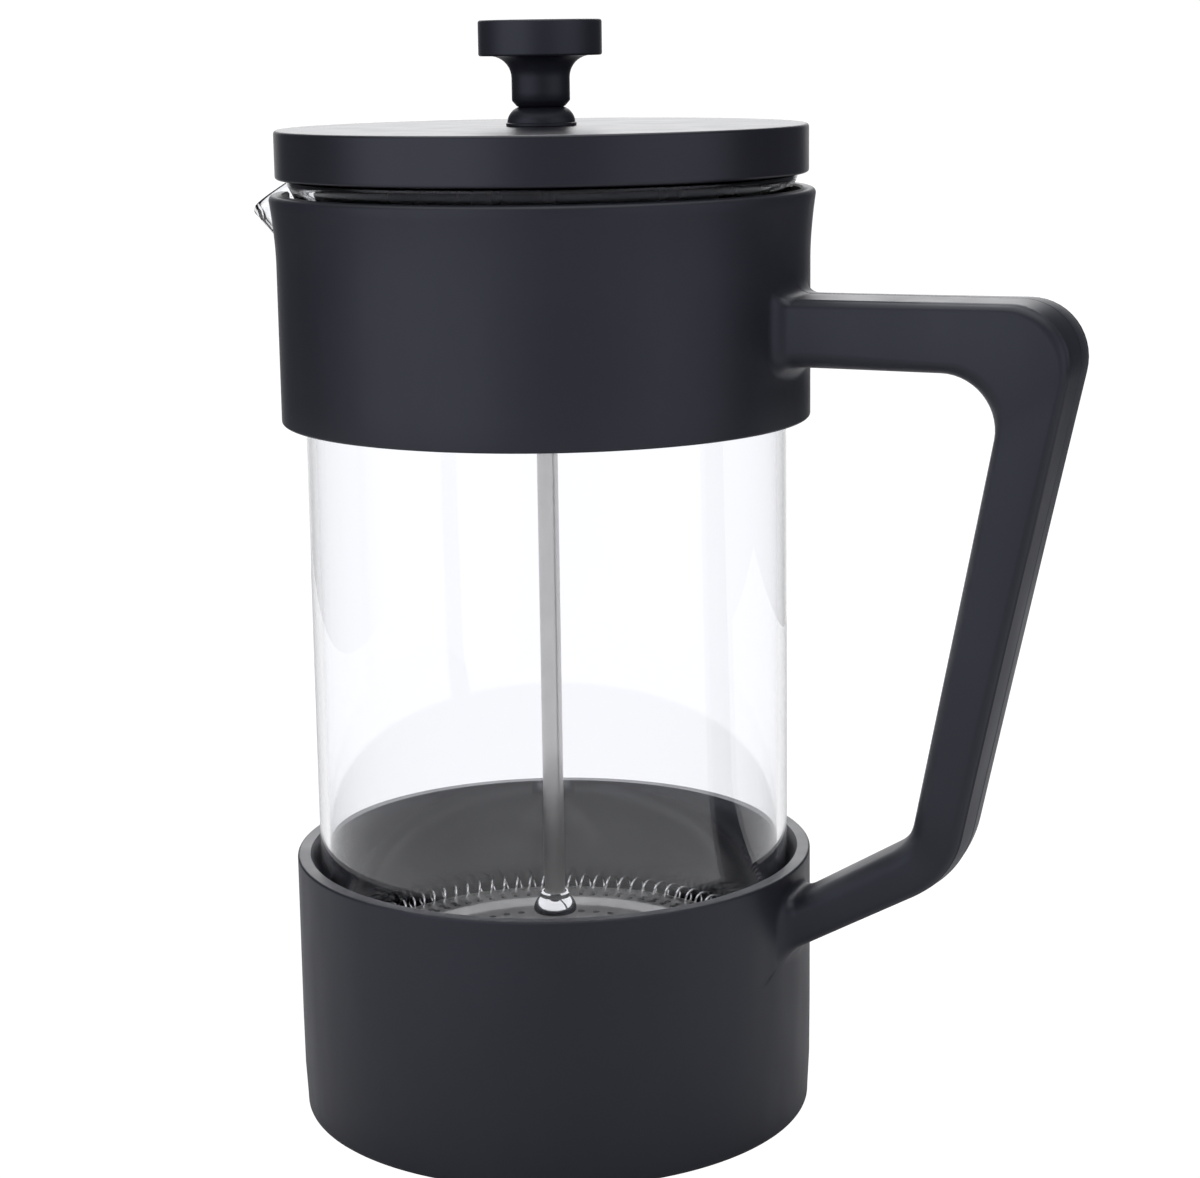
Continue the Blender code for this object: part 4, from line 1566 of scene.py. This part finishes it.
@dataclass
class Lid:
    """Cover, slotted insert, and the bush and nut that guide the rod through them.

    The tuples are stretches of the bush's outline in millimetres, out from a radius and up from a
    height.
    """

    workshop: Workshop
    finishes: Finishes
    wall: float = 2.2 * MM
    top_wall: float = 2.6 * MM
    top_edge: float = 0.7 * MM
    skirt_wall: float = 1.8 * MM
    skirt_radius: float = 46.8 * MM
    boss_radius: float = 10.0 * MM
    sleeve_radius: float = 4.0 * MM
    dome_radius: float = 7.2 * MM
    crest_radius: float = 5.0 * MM
    dome_steps: int = 10
    dome_power: float = 1.3
    crest_edge: tuple = ((-0.4, 0.0), (0.0, -0.15))
    dome_foot: tuple = ((0.0, 0.55), (0.0, 0.1), (-0.1, 0.0))
    sleeve_foot: tuple = ((0.0, 0.3), (-0.3, 0.0))
    bore: float = 2.5 * MM
    slots: int = 9
    slot_pitch: float = math.radians(5.2)
    slot_width: float = 2.4 * MM
    slot_height: Point2 = (185.5 * MM, 195.5 * MM)

    def build(self) -> None:
        """Builds the lid's four pieces."""
        self.build_cover()
        self.build_insert()
        self.build_bush()

    def build_cover(self) -> None:
        """Builds the cap that is seen from outside."""
        extent = Extent.of("lid_cover")
        hole = self.sleeve_radius + GAP
        inside_z = extent.high - self.top_wall
        inside_r = extent.radius - self.wall
        corners = [
            (hole, extent.high, 0.0),
            (extent.radius, extent.high, self.top_edge),
            (extent.radius, extent.low, 0.6 * MM),
            (inside_r, extent.low, 0.4 * MM),
            (inside_r, inside_z, 1.5 * MM),
            (hole, inside_z, 0.0),
        ]
        obj = self.workshop.turn("lid_cap", rounded(corners), self.finishes.lid)
        hand_over(obj, self.finishes.lid, Body.LID, "lid_cover")

    def build_insert(self) -> None:
        """Builds the flange and the skirt that drops into the glass, with its pouring slots."""
        extent = Extent.of("lid_insert")
        rim_z = Extent.of("lid_cover").low
        hole = self.sleeve_radius + GAP
        web = rim_z + 2.0 * MM
        skirt_in = self.skirt_radius - self.skirt_wall
        corners = [
            (hole, extent.high, 0.0),
            (self.boss_radius, extent.high, 0.4 * MM),
            (self.boss_radius, web, 0.8 * MM),
            (extent.radius, web, 0.3 * MM),
            (extent.radius, rim_z, 0.3 * MM),
            (self.skirt_radius, rim_z, 0.3 * MM),
            (self.skirt_radius - 0.3 * MM, extent.low, 0.5 * MM),
            (skirt_in, extent.low, 0.5 * MM),
            (skirt_in, rim_z, 0.6 * MM),
            (hole, rim_z, 0.0),
        ]
        dark = self.finishes.dark
        obj = self.workshop.turn("lid_skirt", rounded(corners, 4), dark)
        first = math.pi - self.slot_pitch * (self.slots - 1) / 2
        self.workshop.row(obj, self.slot_tool(), RowCut.OPEN, self.slots, dark, first, self.slot_pitch)
        hand_over(obj, dark, Body.LID, "lid_insert")

    def slot_tool(self) -> bpy.types.Object:
        """One pouring slot, with round ends.

        Returns:
            The slot as a closed body.
        """
        half = self.slot_width / 2
        low, high = self.slot_height
        outline = arc((0.0, high - half), half, 0, 180, 8) + arc((0.0, low + half), half, 180, 360, 8)
        middle = self.skirt_radius - self.skirt_wall / 2
        wall = self.skirt_wall
        return prism("slot", outline, towards_handle, middle - 3 * wall, middle + 2 * wall)

    def build_bush(self) -> None:
        """Builds the domed bush on the lid and the nut that holds it from below."""
        extent = Extent.of("guide_bush")
        foot = Extent.of("lid_cover").high + CONTACT
        top = Extent.of("knob").low - CONTACT
        crest, sleeve = self.crest_radius, self.sleeve_radius
        dome = [(self.bore, top), *placed(self.crest_edge, crest, top)]
        for i in range(1, self.dome_steps + 1):
            share = i / self.dome_steps
            spread = math.sin(TURN / 4 * share)
            drop = top - 0.15 * MM - (top - 0.85 * MM - foot) * share**self.dome_power
            dome.append((crest + (self.dome_radius - 0.25 * MM - crest) * spread, drop))
        dome += placed(self.dome_foot, self.dome_radius, foot) + [(sleeve, foot)]
        dome += placed(self.sleeve_foot, sleeve, extent.low) + [(self.bore, extent.low)]
        black = self.finishes.black
        self.workshop.piece("rod_bush", dome, black, Body.BUSH, "guide_bush")
        nut = Extent.of("bush_nut")
        hole = sleeve + GAP
        corners = [
            (hole, nut.high, 0.0),
            (nut.radius, nut.high, 0.3 * MM),
            (nut.radius, nut.high - 2.6 * MM, 0.4 * MM),
            (nut.radius - 1.5 * MM, nut.low, 0.4 * MM),
            (hole, nut.low, 0.0),
        ]
        self.workshop.piece("rod_bush_nut", rounded(corners), black, Body.BUSH, "bush_nut")


# ---- plunger -----------------------------------------------------------------------------------


@dataclass
class Plunger:
    """Knob, rod and the round nut that presses on the filter.

    The tuples are stretches of outlines in millimetres, out from a radius and up from a height.
    """

    workshop: Workshop
    finishes: Finishes
    neck: float = 5.95 * MM
    disc_height: float = 7.2 * MM
    waist: float = 4.4 * MM
    insert_radius: float = 3.6 * MM
    bore: float = 2.5 * MM
    ball: float = 4.75 * MM
    ball_collar: float = 3.1 * MM
    neck_foot: tuple = ((0.0, 3.0), (0.0, 1.3), (-0.2, 1.0), (-1.0, 0.1), (-1.3, 0.0))
    collar_edge: tuple = ((-0.3, 0.0), (0.0, -0.3))

    def build(self) -> None:
        """Builds the plunger's upper pieces."""
        self.build_knob()
        self.build_rod()
        self.build_ball()

    def build_knob(self) -> None:
        """Builds the knob and the threaded insert inside it."""
        extent = Extent.of("knob")
        under = extent.high - self.disc_height
        hole = self.insert_radius + GAP
        bore_top = under - 1.0 * MM
        top = [(0.0, extent.high), (6.0 * MM, extent.high)]
        disc = rounded(
            [
                (0.0, extent.high, 0.0),
                (extent.radius, extent.high, 0.55 * MM),
                (extent.radius, under, 0.45 * MM),
                (self.neck + self.waist, under, 0.0),
            ]
        )[1:-1]
        waist = arc((self.neck + self.waist, under - self.waist), self.waist, 90, 180, 10)
        foot = placed(self.neck_foot, self.neck, extent.low) + [(hole, extent.low)]
        outline = top + disc + waist + foot + [(hole, bore_top), (0.0, bore_top)]
        self.workshop.piece("plunger_knob", outline, self.finishes.black, Body.PLUNGER, "knob")
        thread = ring_outline(self.bore, Extent.of("knob_insert"), 0.2 * MM, 0.3 * MM)
        self.workshop.piece("knob_thread", thread, self.finishes.satin, Body.PLUNGER, "knob_insert")

    def build_rod(self) -> None:
        """Builds the rod."""
        outline = ring_outline(0.0, Extent.of("plunger_rod"), 0.0, 0.5 * MM)
        self.workshop.piece("rod", outline, self.finishes.satin, Body.PLUNGER, "plunger_rod")

    def build_ball(self) -> None:
        """Builds the round nut at the rod's foot, with a short collar at its top."""
        extent = Extent.of("ball_nut")
        centre = extent.low + 4.4 * MM
        outline = [(self.bore, extent.high), *placed(self.collar_edge, self.ball_collar, extent.high)]
        outline += arc((0.0, centre), self.ball, 47, -46, 24)
        outline += [(3.2 * MM, extent.low), (self.bore, extent.low)]
        self.workshop.piece("ball", outline, self.finishes.polished, Body.PLUNGER, "ball_nut")


@dataclass
class Filter:
    """Sprung spiral plate, woven screen, cross plate and the nut that clamps them.

    The tuples are stretches of outlines in millimetres, out from a radius and up from a height.
    """

    workshop: Workshop
    finishes: Finishes
    sheet: float = 0.6 * MM
    bore: float = 2.5 * MM
    boss_drop: float = 3.9 * MM
    step_radius: float = 36.2 * MM
    step: float = 1.4 * MM
    laces: int = 90
    lace_ring: float = 43.7 * MM
    bones: int = 82
    bone_ring: float = 40.0 * MM
    pinholes: int = 56
    pinhole_ring: float = 31.0 * MM
    inner_pinholes: int = 40
    inner_pinhole_ring: float = 22.0 * MM
    wire: float = 0.32 * MM
    spokes: int = 8
    window_steps: int = 8
    grooves: int = 36
    screen_sheet: float = 0.4 * MM
    boss_top: tuple = ((6.0, 0.0), (6.6, -0.3))
    boss_foot: tuple = ((10.0, 0.4), (10.9, 0.0), (12.0, 0.0))
    step_inside: tuple = ((-2.2, 0.0), (-1.2, 0.0), (-0.7, 0.12))
    step_outside: tuple = ((0.7, -0.12), (1.2, 0.0), (1.8, 0.0))
    plate_edge: tuple = ((-0.25, 0.0), (0.0, -0.2))
    plate_under_edge: tuple = ((0.0, 0.2), (-0.25, 0.0))
    screen_inside: tuple = ((-0.6, 0.0), (0.0, 0.1))
    screen_outside: tuple = ((1.8, -0.1), (2.4, 0.0))
    past: float = 1.0 * MM  # how far a cutting tool reaches past the sheet

    def build(self) -> None:
        """Builds the filter's five pieces."""
        self.build_plate()
        self.build_coil()
        self.build_screen()
        self.build_cross()
        self.build_hub_nut()

    def face(self, top: float, offset: float) -> list[Point2]:
        """Points along the plate's face from the bore to the edge.

        Args:
            top: height of the boss.
            offset: how far below the upper face it lies.

        Returns:
            Points (r, z).
        """
        flange = top - self.boss_drop
        centre = flange - self.step
        rise = self.step_radius
        line = [(self.bore, top), *placed(self.boss_top, 0.0, top), *placed(self.boss_foot, 0.0, centre)]
        line += placed(self.step_inside, rise, centre) + placed(self.step_outside, rise, flange)
        return [(r, z - offset) for r, z in line]

    def hole_tool(self, place: float, half_length: float, half_width: float,
                  waist: float = 1.0) -> bpy.types.Object:
        """One hole through the plate, longer along the radius and narrower at its middle.

        Args:
            place: radius at which its middle lies.
            half_length: half its length along the radius.
            half_width: half its width at its ends.
            waist: share of the width that is left at its middle.

        Returns:
            The hole as a closed body.
        """
        if waist < 1.0:
            outline = self.bone(half_length, half_width, waist)
        else:
            circle = arc((0.0, 0.0), 1.0, 0, 360, 16)[:-1]
            outline = [(half_length * x, half_width * y) for x, y in circle]
        outline = [(place + x, y) for x, y in outline]
        extent = Extent.of("spiral_plate")
        return prism("hole", outline, upwards, extent.low - self.past, extent.high + self.past)

    def bone(self, half_length: float, half_width: float, waist: float) -> list[Point2]:
        """Outline of a hole with two round ends and a narrow middle.

        Args:
            half_length: half its length.
            half_width: half its width, and the radius of its ends.
            waist: share of the width that is left at its middle.

        Returns:
            Points (along, across), round its middle.
        """
        centre = half_length - half_width
        half_opening = math.degrees(math.asin(waist))
        outer = arc((centre, 0.0), half_width, -180 + half_opening, 180 - half_opening, 8)
        back = arc((-centre, 0.0), half_width, half_opening, 360 - half_opening, 8)
        return outer + back

    def build_plate(self) -> None:
        """Builds the plate with its rings of holes."""
        extent = Extent.of("spiral_plate")
        radius = extent.radius
        flange = extent.high - self.boss_drop
        top = self.face(extent.high, 0.0) + placed(self.plate_edge, radius, flange)
        under = self.face(extent.high, self.sheet)
        edge = placed(self.plate_under_edge, radius, flange - self.sheet)
        steel = self.finishes.sheet
        obj = self.workshop.turn("spiral_disc", top + edge + under[::-1], steel)
        rings = (
            (self.hole_tool(self.lace_ring, 0.62 * MM, 0.5 * MM), self.laces),
            (self.hole_tool(self.bone_ring, 1.75 * MM, 0.85 * MM, 0.45), self.bones),
            (self.hole_tool(self.pinhole_ring, 0.8 * MM, 0.8 * MM), self.pinholes),
            (self.hole_tool(self.inner_pinhole_ring, 0.8 * MM, 0.8 * MM), self.inner_pinholes),
        )
        for tool, count in rings:
            self.workshop.row(obj, tool, RowCut.OPEN, count, steel)
        hand_over(obj, steel, Body.PLUNGER, "spiral_plate")

    def build_coil(self) -> None:
        """Builds the fine spring laced round the plate's edge."""
        extent = Extent.of("spring_coil")
        loop = (extent.high - extent.low) / 2
        polished = self.finishes.polished
        obj = new_object("edge_spring", bpy.data.meshes.new("edge_spring"))
        self.workshop.coil.apply(
            obj,
            Ring_Radius=extent.radius - loop,
            Loop_Radius=loop - self.wire,
            Wire_Radius=self.wire,
            Height=(extent.high + extent.low) / 2,
            Turns=self.laces,
            Points=self.laces * 20,
            Material=polished.material,
        )
        clean(obj)
        hand_over(obj, polished, Body.PLUNGER, "spring_coil")

    def build_screen(self) -> None:
        """Builds the woven screen under the plate."""
        extent = Extent.of("mesh_screen")
        sheet = self.screen_sheet
        centre = extent.low + sheet
        line = [(self.bore, centre), *placed(self.screen_inside, self.step_radius, centre)]
        line += placed(self.screen_outside, self.step_radius, extent.high) + [(extent.radius, extent.high)]
        under = [(r, z - sheet) for r, z in reversed(line)]
        woven = self.finishes.woven
        obj = self.workshop.turn("wire_screen", line + under, woven)
        hand_over(obj, woven, Body.PLUNGER, "mesh_screen")

    def build_cross(self) -> None:
        """Builds the spoked plate that clamps the screen from below."""
        extent = Extent.of("cross_plate")
        rim, hub, half_spoke = 4.0 * MM, 10.0 * MM, 2.5 * MM
        satin = self.finishes.satin
        obj = self.workshop.turn("cross_disc", ring_outline(self.bore, extent, 0.0, 0.2 * MM), satin)
        tool = self.window_tool(extent, hub, extent.radius - rim, half_spoke)
        self.workshop.row(obj, tool, RowCut.OPEN, self.spokes, satin, math.pi / self.spokes)
        hand_over(obj, satin, Body.PLUNGER, "cross_plate")

    def window_tool(self, extent: Extent, inner: float, outer: float, half_spoke: float) -> bpy.types.Object:
        """The opening between two spokes of the cross plate.

        Args:
            extent: the plate's extent.
            inner: radius at which the openings start.
            outer: radius at which they end.
            half_spoke: half a spoke's width.

        Returns:
            The opening as a closed body.
        """
        half = math.pi / self.spokes
        outline = []
        for radius, order in ((outer, 1), (inner, -1)):
            reach = half - math.asin(half_spoke / radius)
            for k in range(self.window_steps + 1):
                angle = order * reach * (2 * k / self.window_steps - 1)
                outline.append((radius * math.cos(angle), radius * math.sin(angle)))
        return prism("window", outline, upwards, extent.low - self.past, extent.high + self.past)

    def build_hub_nut(self) -> None:
        """Builds the knurled nut under the filter."""
        extent = Extent.of("hub_nut")
        body = 4.8 * MM
        flange_low = extent.high - 1.0 * MM
        corners = [
            (self.bore, extent.high, 0.0),
            (extent.radius, extent.high, 0.25 * MM),
            (extent.radius, flange_low, 0.25 * MM),
            (body, flange_low - 0.3 * MM, 0.3 * MM),
            (body, extent.low, 0.4 * MM),
            (self.bore, extent.low, 0.0),
        ]
        satin = self.finishes.satin
        obj = self.workshop.turn("clamp_nut", rounded(corners, 4), satin, SMALL_STEPS)
        depth = 0.25 * MM
        outline = [(body - depth, 0.0), (body + depth, -depth), (body + depth, depth)]
        tool = prism("groove", outline, upwards, extent.low - self.past, flange_low - 0.8 * MM)
        self.workshop.row(obj, tool, RowCut.OPEN, self.grooves, satin)
        hand_over(obj, satin, Body.PLUNGER, "hub_nut")


# ---- studio ------------------------------------------------------------------------------------


COOL = (0.93, 0.95, 1.08)  # tone of the panels on the camera's side


@dataclass(frozen=True)
class Panel:
    """A soft light, as a round patch of the surroundings.

    Angles are in degrees. The turn is to the right of the camera as seen from the press.
    """

    turn: float
    rise: float
    inner: float = 0.0
    outer: float = 30.0
    level: float = 1.0
    tone: Colour = (1.0, 1.0, 1.0)

    @property
    def colour(self) -> Colour:
        """Its tone at its level."""
        return tuple(self.level * part for part in self.tone)

    def direction(self, azimuth: float) -> tuple[float, float, float]:
        """Direction from the press to the panel.

        Args:
            azimuth: the camera's azimuth in radians.

        Returns:
            A unit vector.
        """
        angle = azimuth + math.radians(self.turn)
        rise = math.radians(self.rise)
        return (math.sin(angle) * math.cos(rise), -math.cos(angle) * math.cos(rise), math.sin(rise))


@dataclass
class Studio:
    """Camera, floor, surroundings and soft lights."""

    azimuth: float = math.radians(24.0)
    distance: float = 572.3 * MM
    height: float = 226.2 * MM
    pitch: float = math.radians(11.313)
    yaw: float = math.radians(1.065)
    roll: float = math.radians(0.809)
    lens: float = 82.82
    sensor: float = 36.0
    clip: tuple[float, float] = (0.01, 50.0)
    floor_half: float = 0.5
    floor_drop: float = 0.2 * MM  # keeps the floor off the foot
    backdrop: float = 1.07
    ambient: Colour = (0.075, 0.078, 0.09)
    see_through: tuple[float, float] = (50.0, 85.0)  # degrees; glass shows the backdrop up to the first
    panels: tuple[Panel, ...] = (
        Panel(180.0, 2.0, 8.0, 30.0, 1.07),
        Panel(180.0, 34.0, 10.0, 28.0, 2.6),
        Panel(-54.0, 4.0, 12.0, 48.0, 1.05, COOL),
        Panel(56.0, 6.0, 10.0, 40.0, 0.74, COOL),
        Panel(0.0, -6.0, 10.0, 45.0, 0.34, COOL),
        Panel(0.0, 90.0, 25.0, 50.0, 1.6),
    )

    def place_camera(self) -> None:
        """Places the camera."""
        data = bpy.data.cameras.new("camera")
        data.lens = self.lens
        data.sensor_width = self.sensor
        data.clip_start, data.clip_end = self.clip
        camera = bpy.data.objects.new("camera", data)
        bpy.context.scene.collection.objects.link(camera)
        away = Vector((math.sin(self.azimuth), -math.cos(self.azimuth), 0.0)) * self.distance
        place = Matrix.Translation(away + Vector((0.0, 0.0, self.height)))
        turn = Matrix.Rotation(self.azimuth - self.yaw, 4, "Z")
        tilt = Matrix.Rotation(TURN / 4 - self.pitch, 4, "X")
        camera.matrix_world = place @ turn @ tilt @ Matrix.Rotation(-self.roll, 4, "Z")
        bpy.context.scene.camera = camera

    def lay_floor(self) -> None:
        """Lays the pale floor."""
        mesh = bpy.data.meshes.new("floor")
        half = self.floor_half
        corners = [(-half, -half, 0), (half, -half, 0), (half, half, 0), (-half, half, 0)]
        mesh.from_pydata(corners, [], [(0, 1, 2, 3)])
        floor = new_object("floor", mesh)
        floor.location.z = -self.floor_drop
        mesh.materials.append(PaleFloor(self.backdrop).build())

    def surround(self) -> None:
        """Surrounds the press with a white background and with soft light from a few panels."""
        world = bpy.data.worlds.new("studio")
        world.use_nodes = True
        bpy.context.scene.world = world
        nodes = Nodes(world.node_tree)
        background = world.node_tree.nodes["Background"]
        direction = nodes.add("ShaderNodeTexCoord").outputs["Generated"]
        light: object = self.ambient
        for panel in self.panels:
            share = self.facing(nodes, direction, panel.direction(self.azimuth), panel.outer, panel.inner)
            lit = nodes.add("ShaderNodeVectorMath", {0: panel.colour, "Scale": share}, operation="SCALE")
            total = nodes.add("ShaderNodeVectorMath", {0: lit.outputs[0], 1: light}, operation="ADD")
            light = total.outputs[0]
        rays = nodes.add("ShaderNodeLightPath").outputs
        through = nodes.math("MULTIPLY", rays["Is Transmission Ray"], self.level_share(nodes, direction))
        plain = nodes.math("MAXIMUM", rays["Is Camera Ray"], through)
        shown = nodes.add("ShaderNodeMix", {"Factor": plain, "A": light}, data_type="VECTOR")
        shown.inputs["B"].default_value = (self.backdrop,) * 3
        world.node_tree.links.new(shown.outputs["Result"], background.inputs["Color"])

    def level_share(self, nodes: Nodes, direction: Socket) -> Socket:
        """How far a direction counts as level.

        Args:
            nodes: the world's node tree.
            direction: the direction that is looked along.

        Returns:
            1 for a direction that is nearly level, falling to 0 for one that is steep.
        """
        steepness = nodes.math("ABSOLUTE", nodes.add("ShaderNodeSeparateXYZ", {0: direction}).outputs["Z"])
        level, steep = (math.sin(math.radians(angle)) for angle in self.see_through)
        limits = {"Value": steepness, "From Min": level, "From Max": steep, "To Min": 1.0, "To Max": 0.0}
        return nodes.add("ShaderNodeMapRange", limits, interpolation_type="SMOOTHSTEP").outputs[0]

    def facing(self, nodes: Nodes, direction: Socket, towards: Colour, outer: float,
               inner: float) -> Socket:
        """How far a direction lies inside a round patch of the surroundings.

        Args:
            nodes: the world's node tree.
            direction: the direction that is looked along.
            towards: the patch's middle.
            outer: angle from the middle at which the patch ends, in degrees.
            inner: angle at which it is at its full level.

        Returns:
            1 inside the patch, 0 outside it, eased between.
        """
        near = nodes.add("ShaderNodeVectorMath", {0: direction, 1: towards}, operation="DOT_PRODUCT")
        limits = {
            "Value": near.outputs["Value"],
            "From Min": math.cos(math.radians(outer)),
            "From Max": math.cos(math.radians(inner)),
        }
        return nodes.add("ShaderNodeMapRange", limits, interpolation_type="SMOOTHSTEP").outputs[0]

    def build(self) -> None:
        """Sets up the whole studio."""
        self.place_camera()
        self.lay_floor()
        self.surround()
        bpy.context.scene.view_settings.view_transform = "Standard"


# ---- assembly ----------------------------------------------------------------------------------


def main() -> None:
    """Builds every piece in order."""
    logging.basicConfig(level=logging.INFO, format="%(name)s: %(message)s")
    finishes = Finishes.make()
    workshop = Workshop()
    Studio().build()
    Frame(workshop, finishes).build()
    Beaker(finishes).build()
    Lid(workshop, finishes).build()
    Plunger(workshop, finishes).build()
    Filter(workshop, finishes).build()


if __name__ == "__main__":
    main()
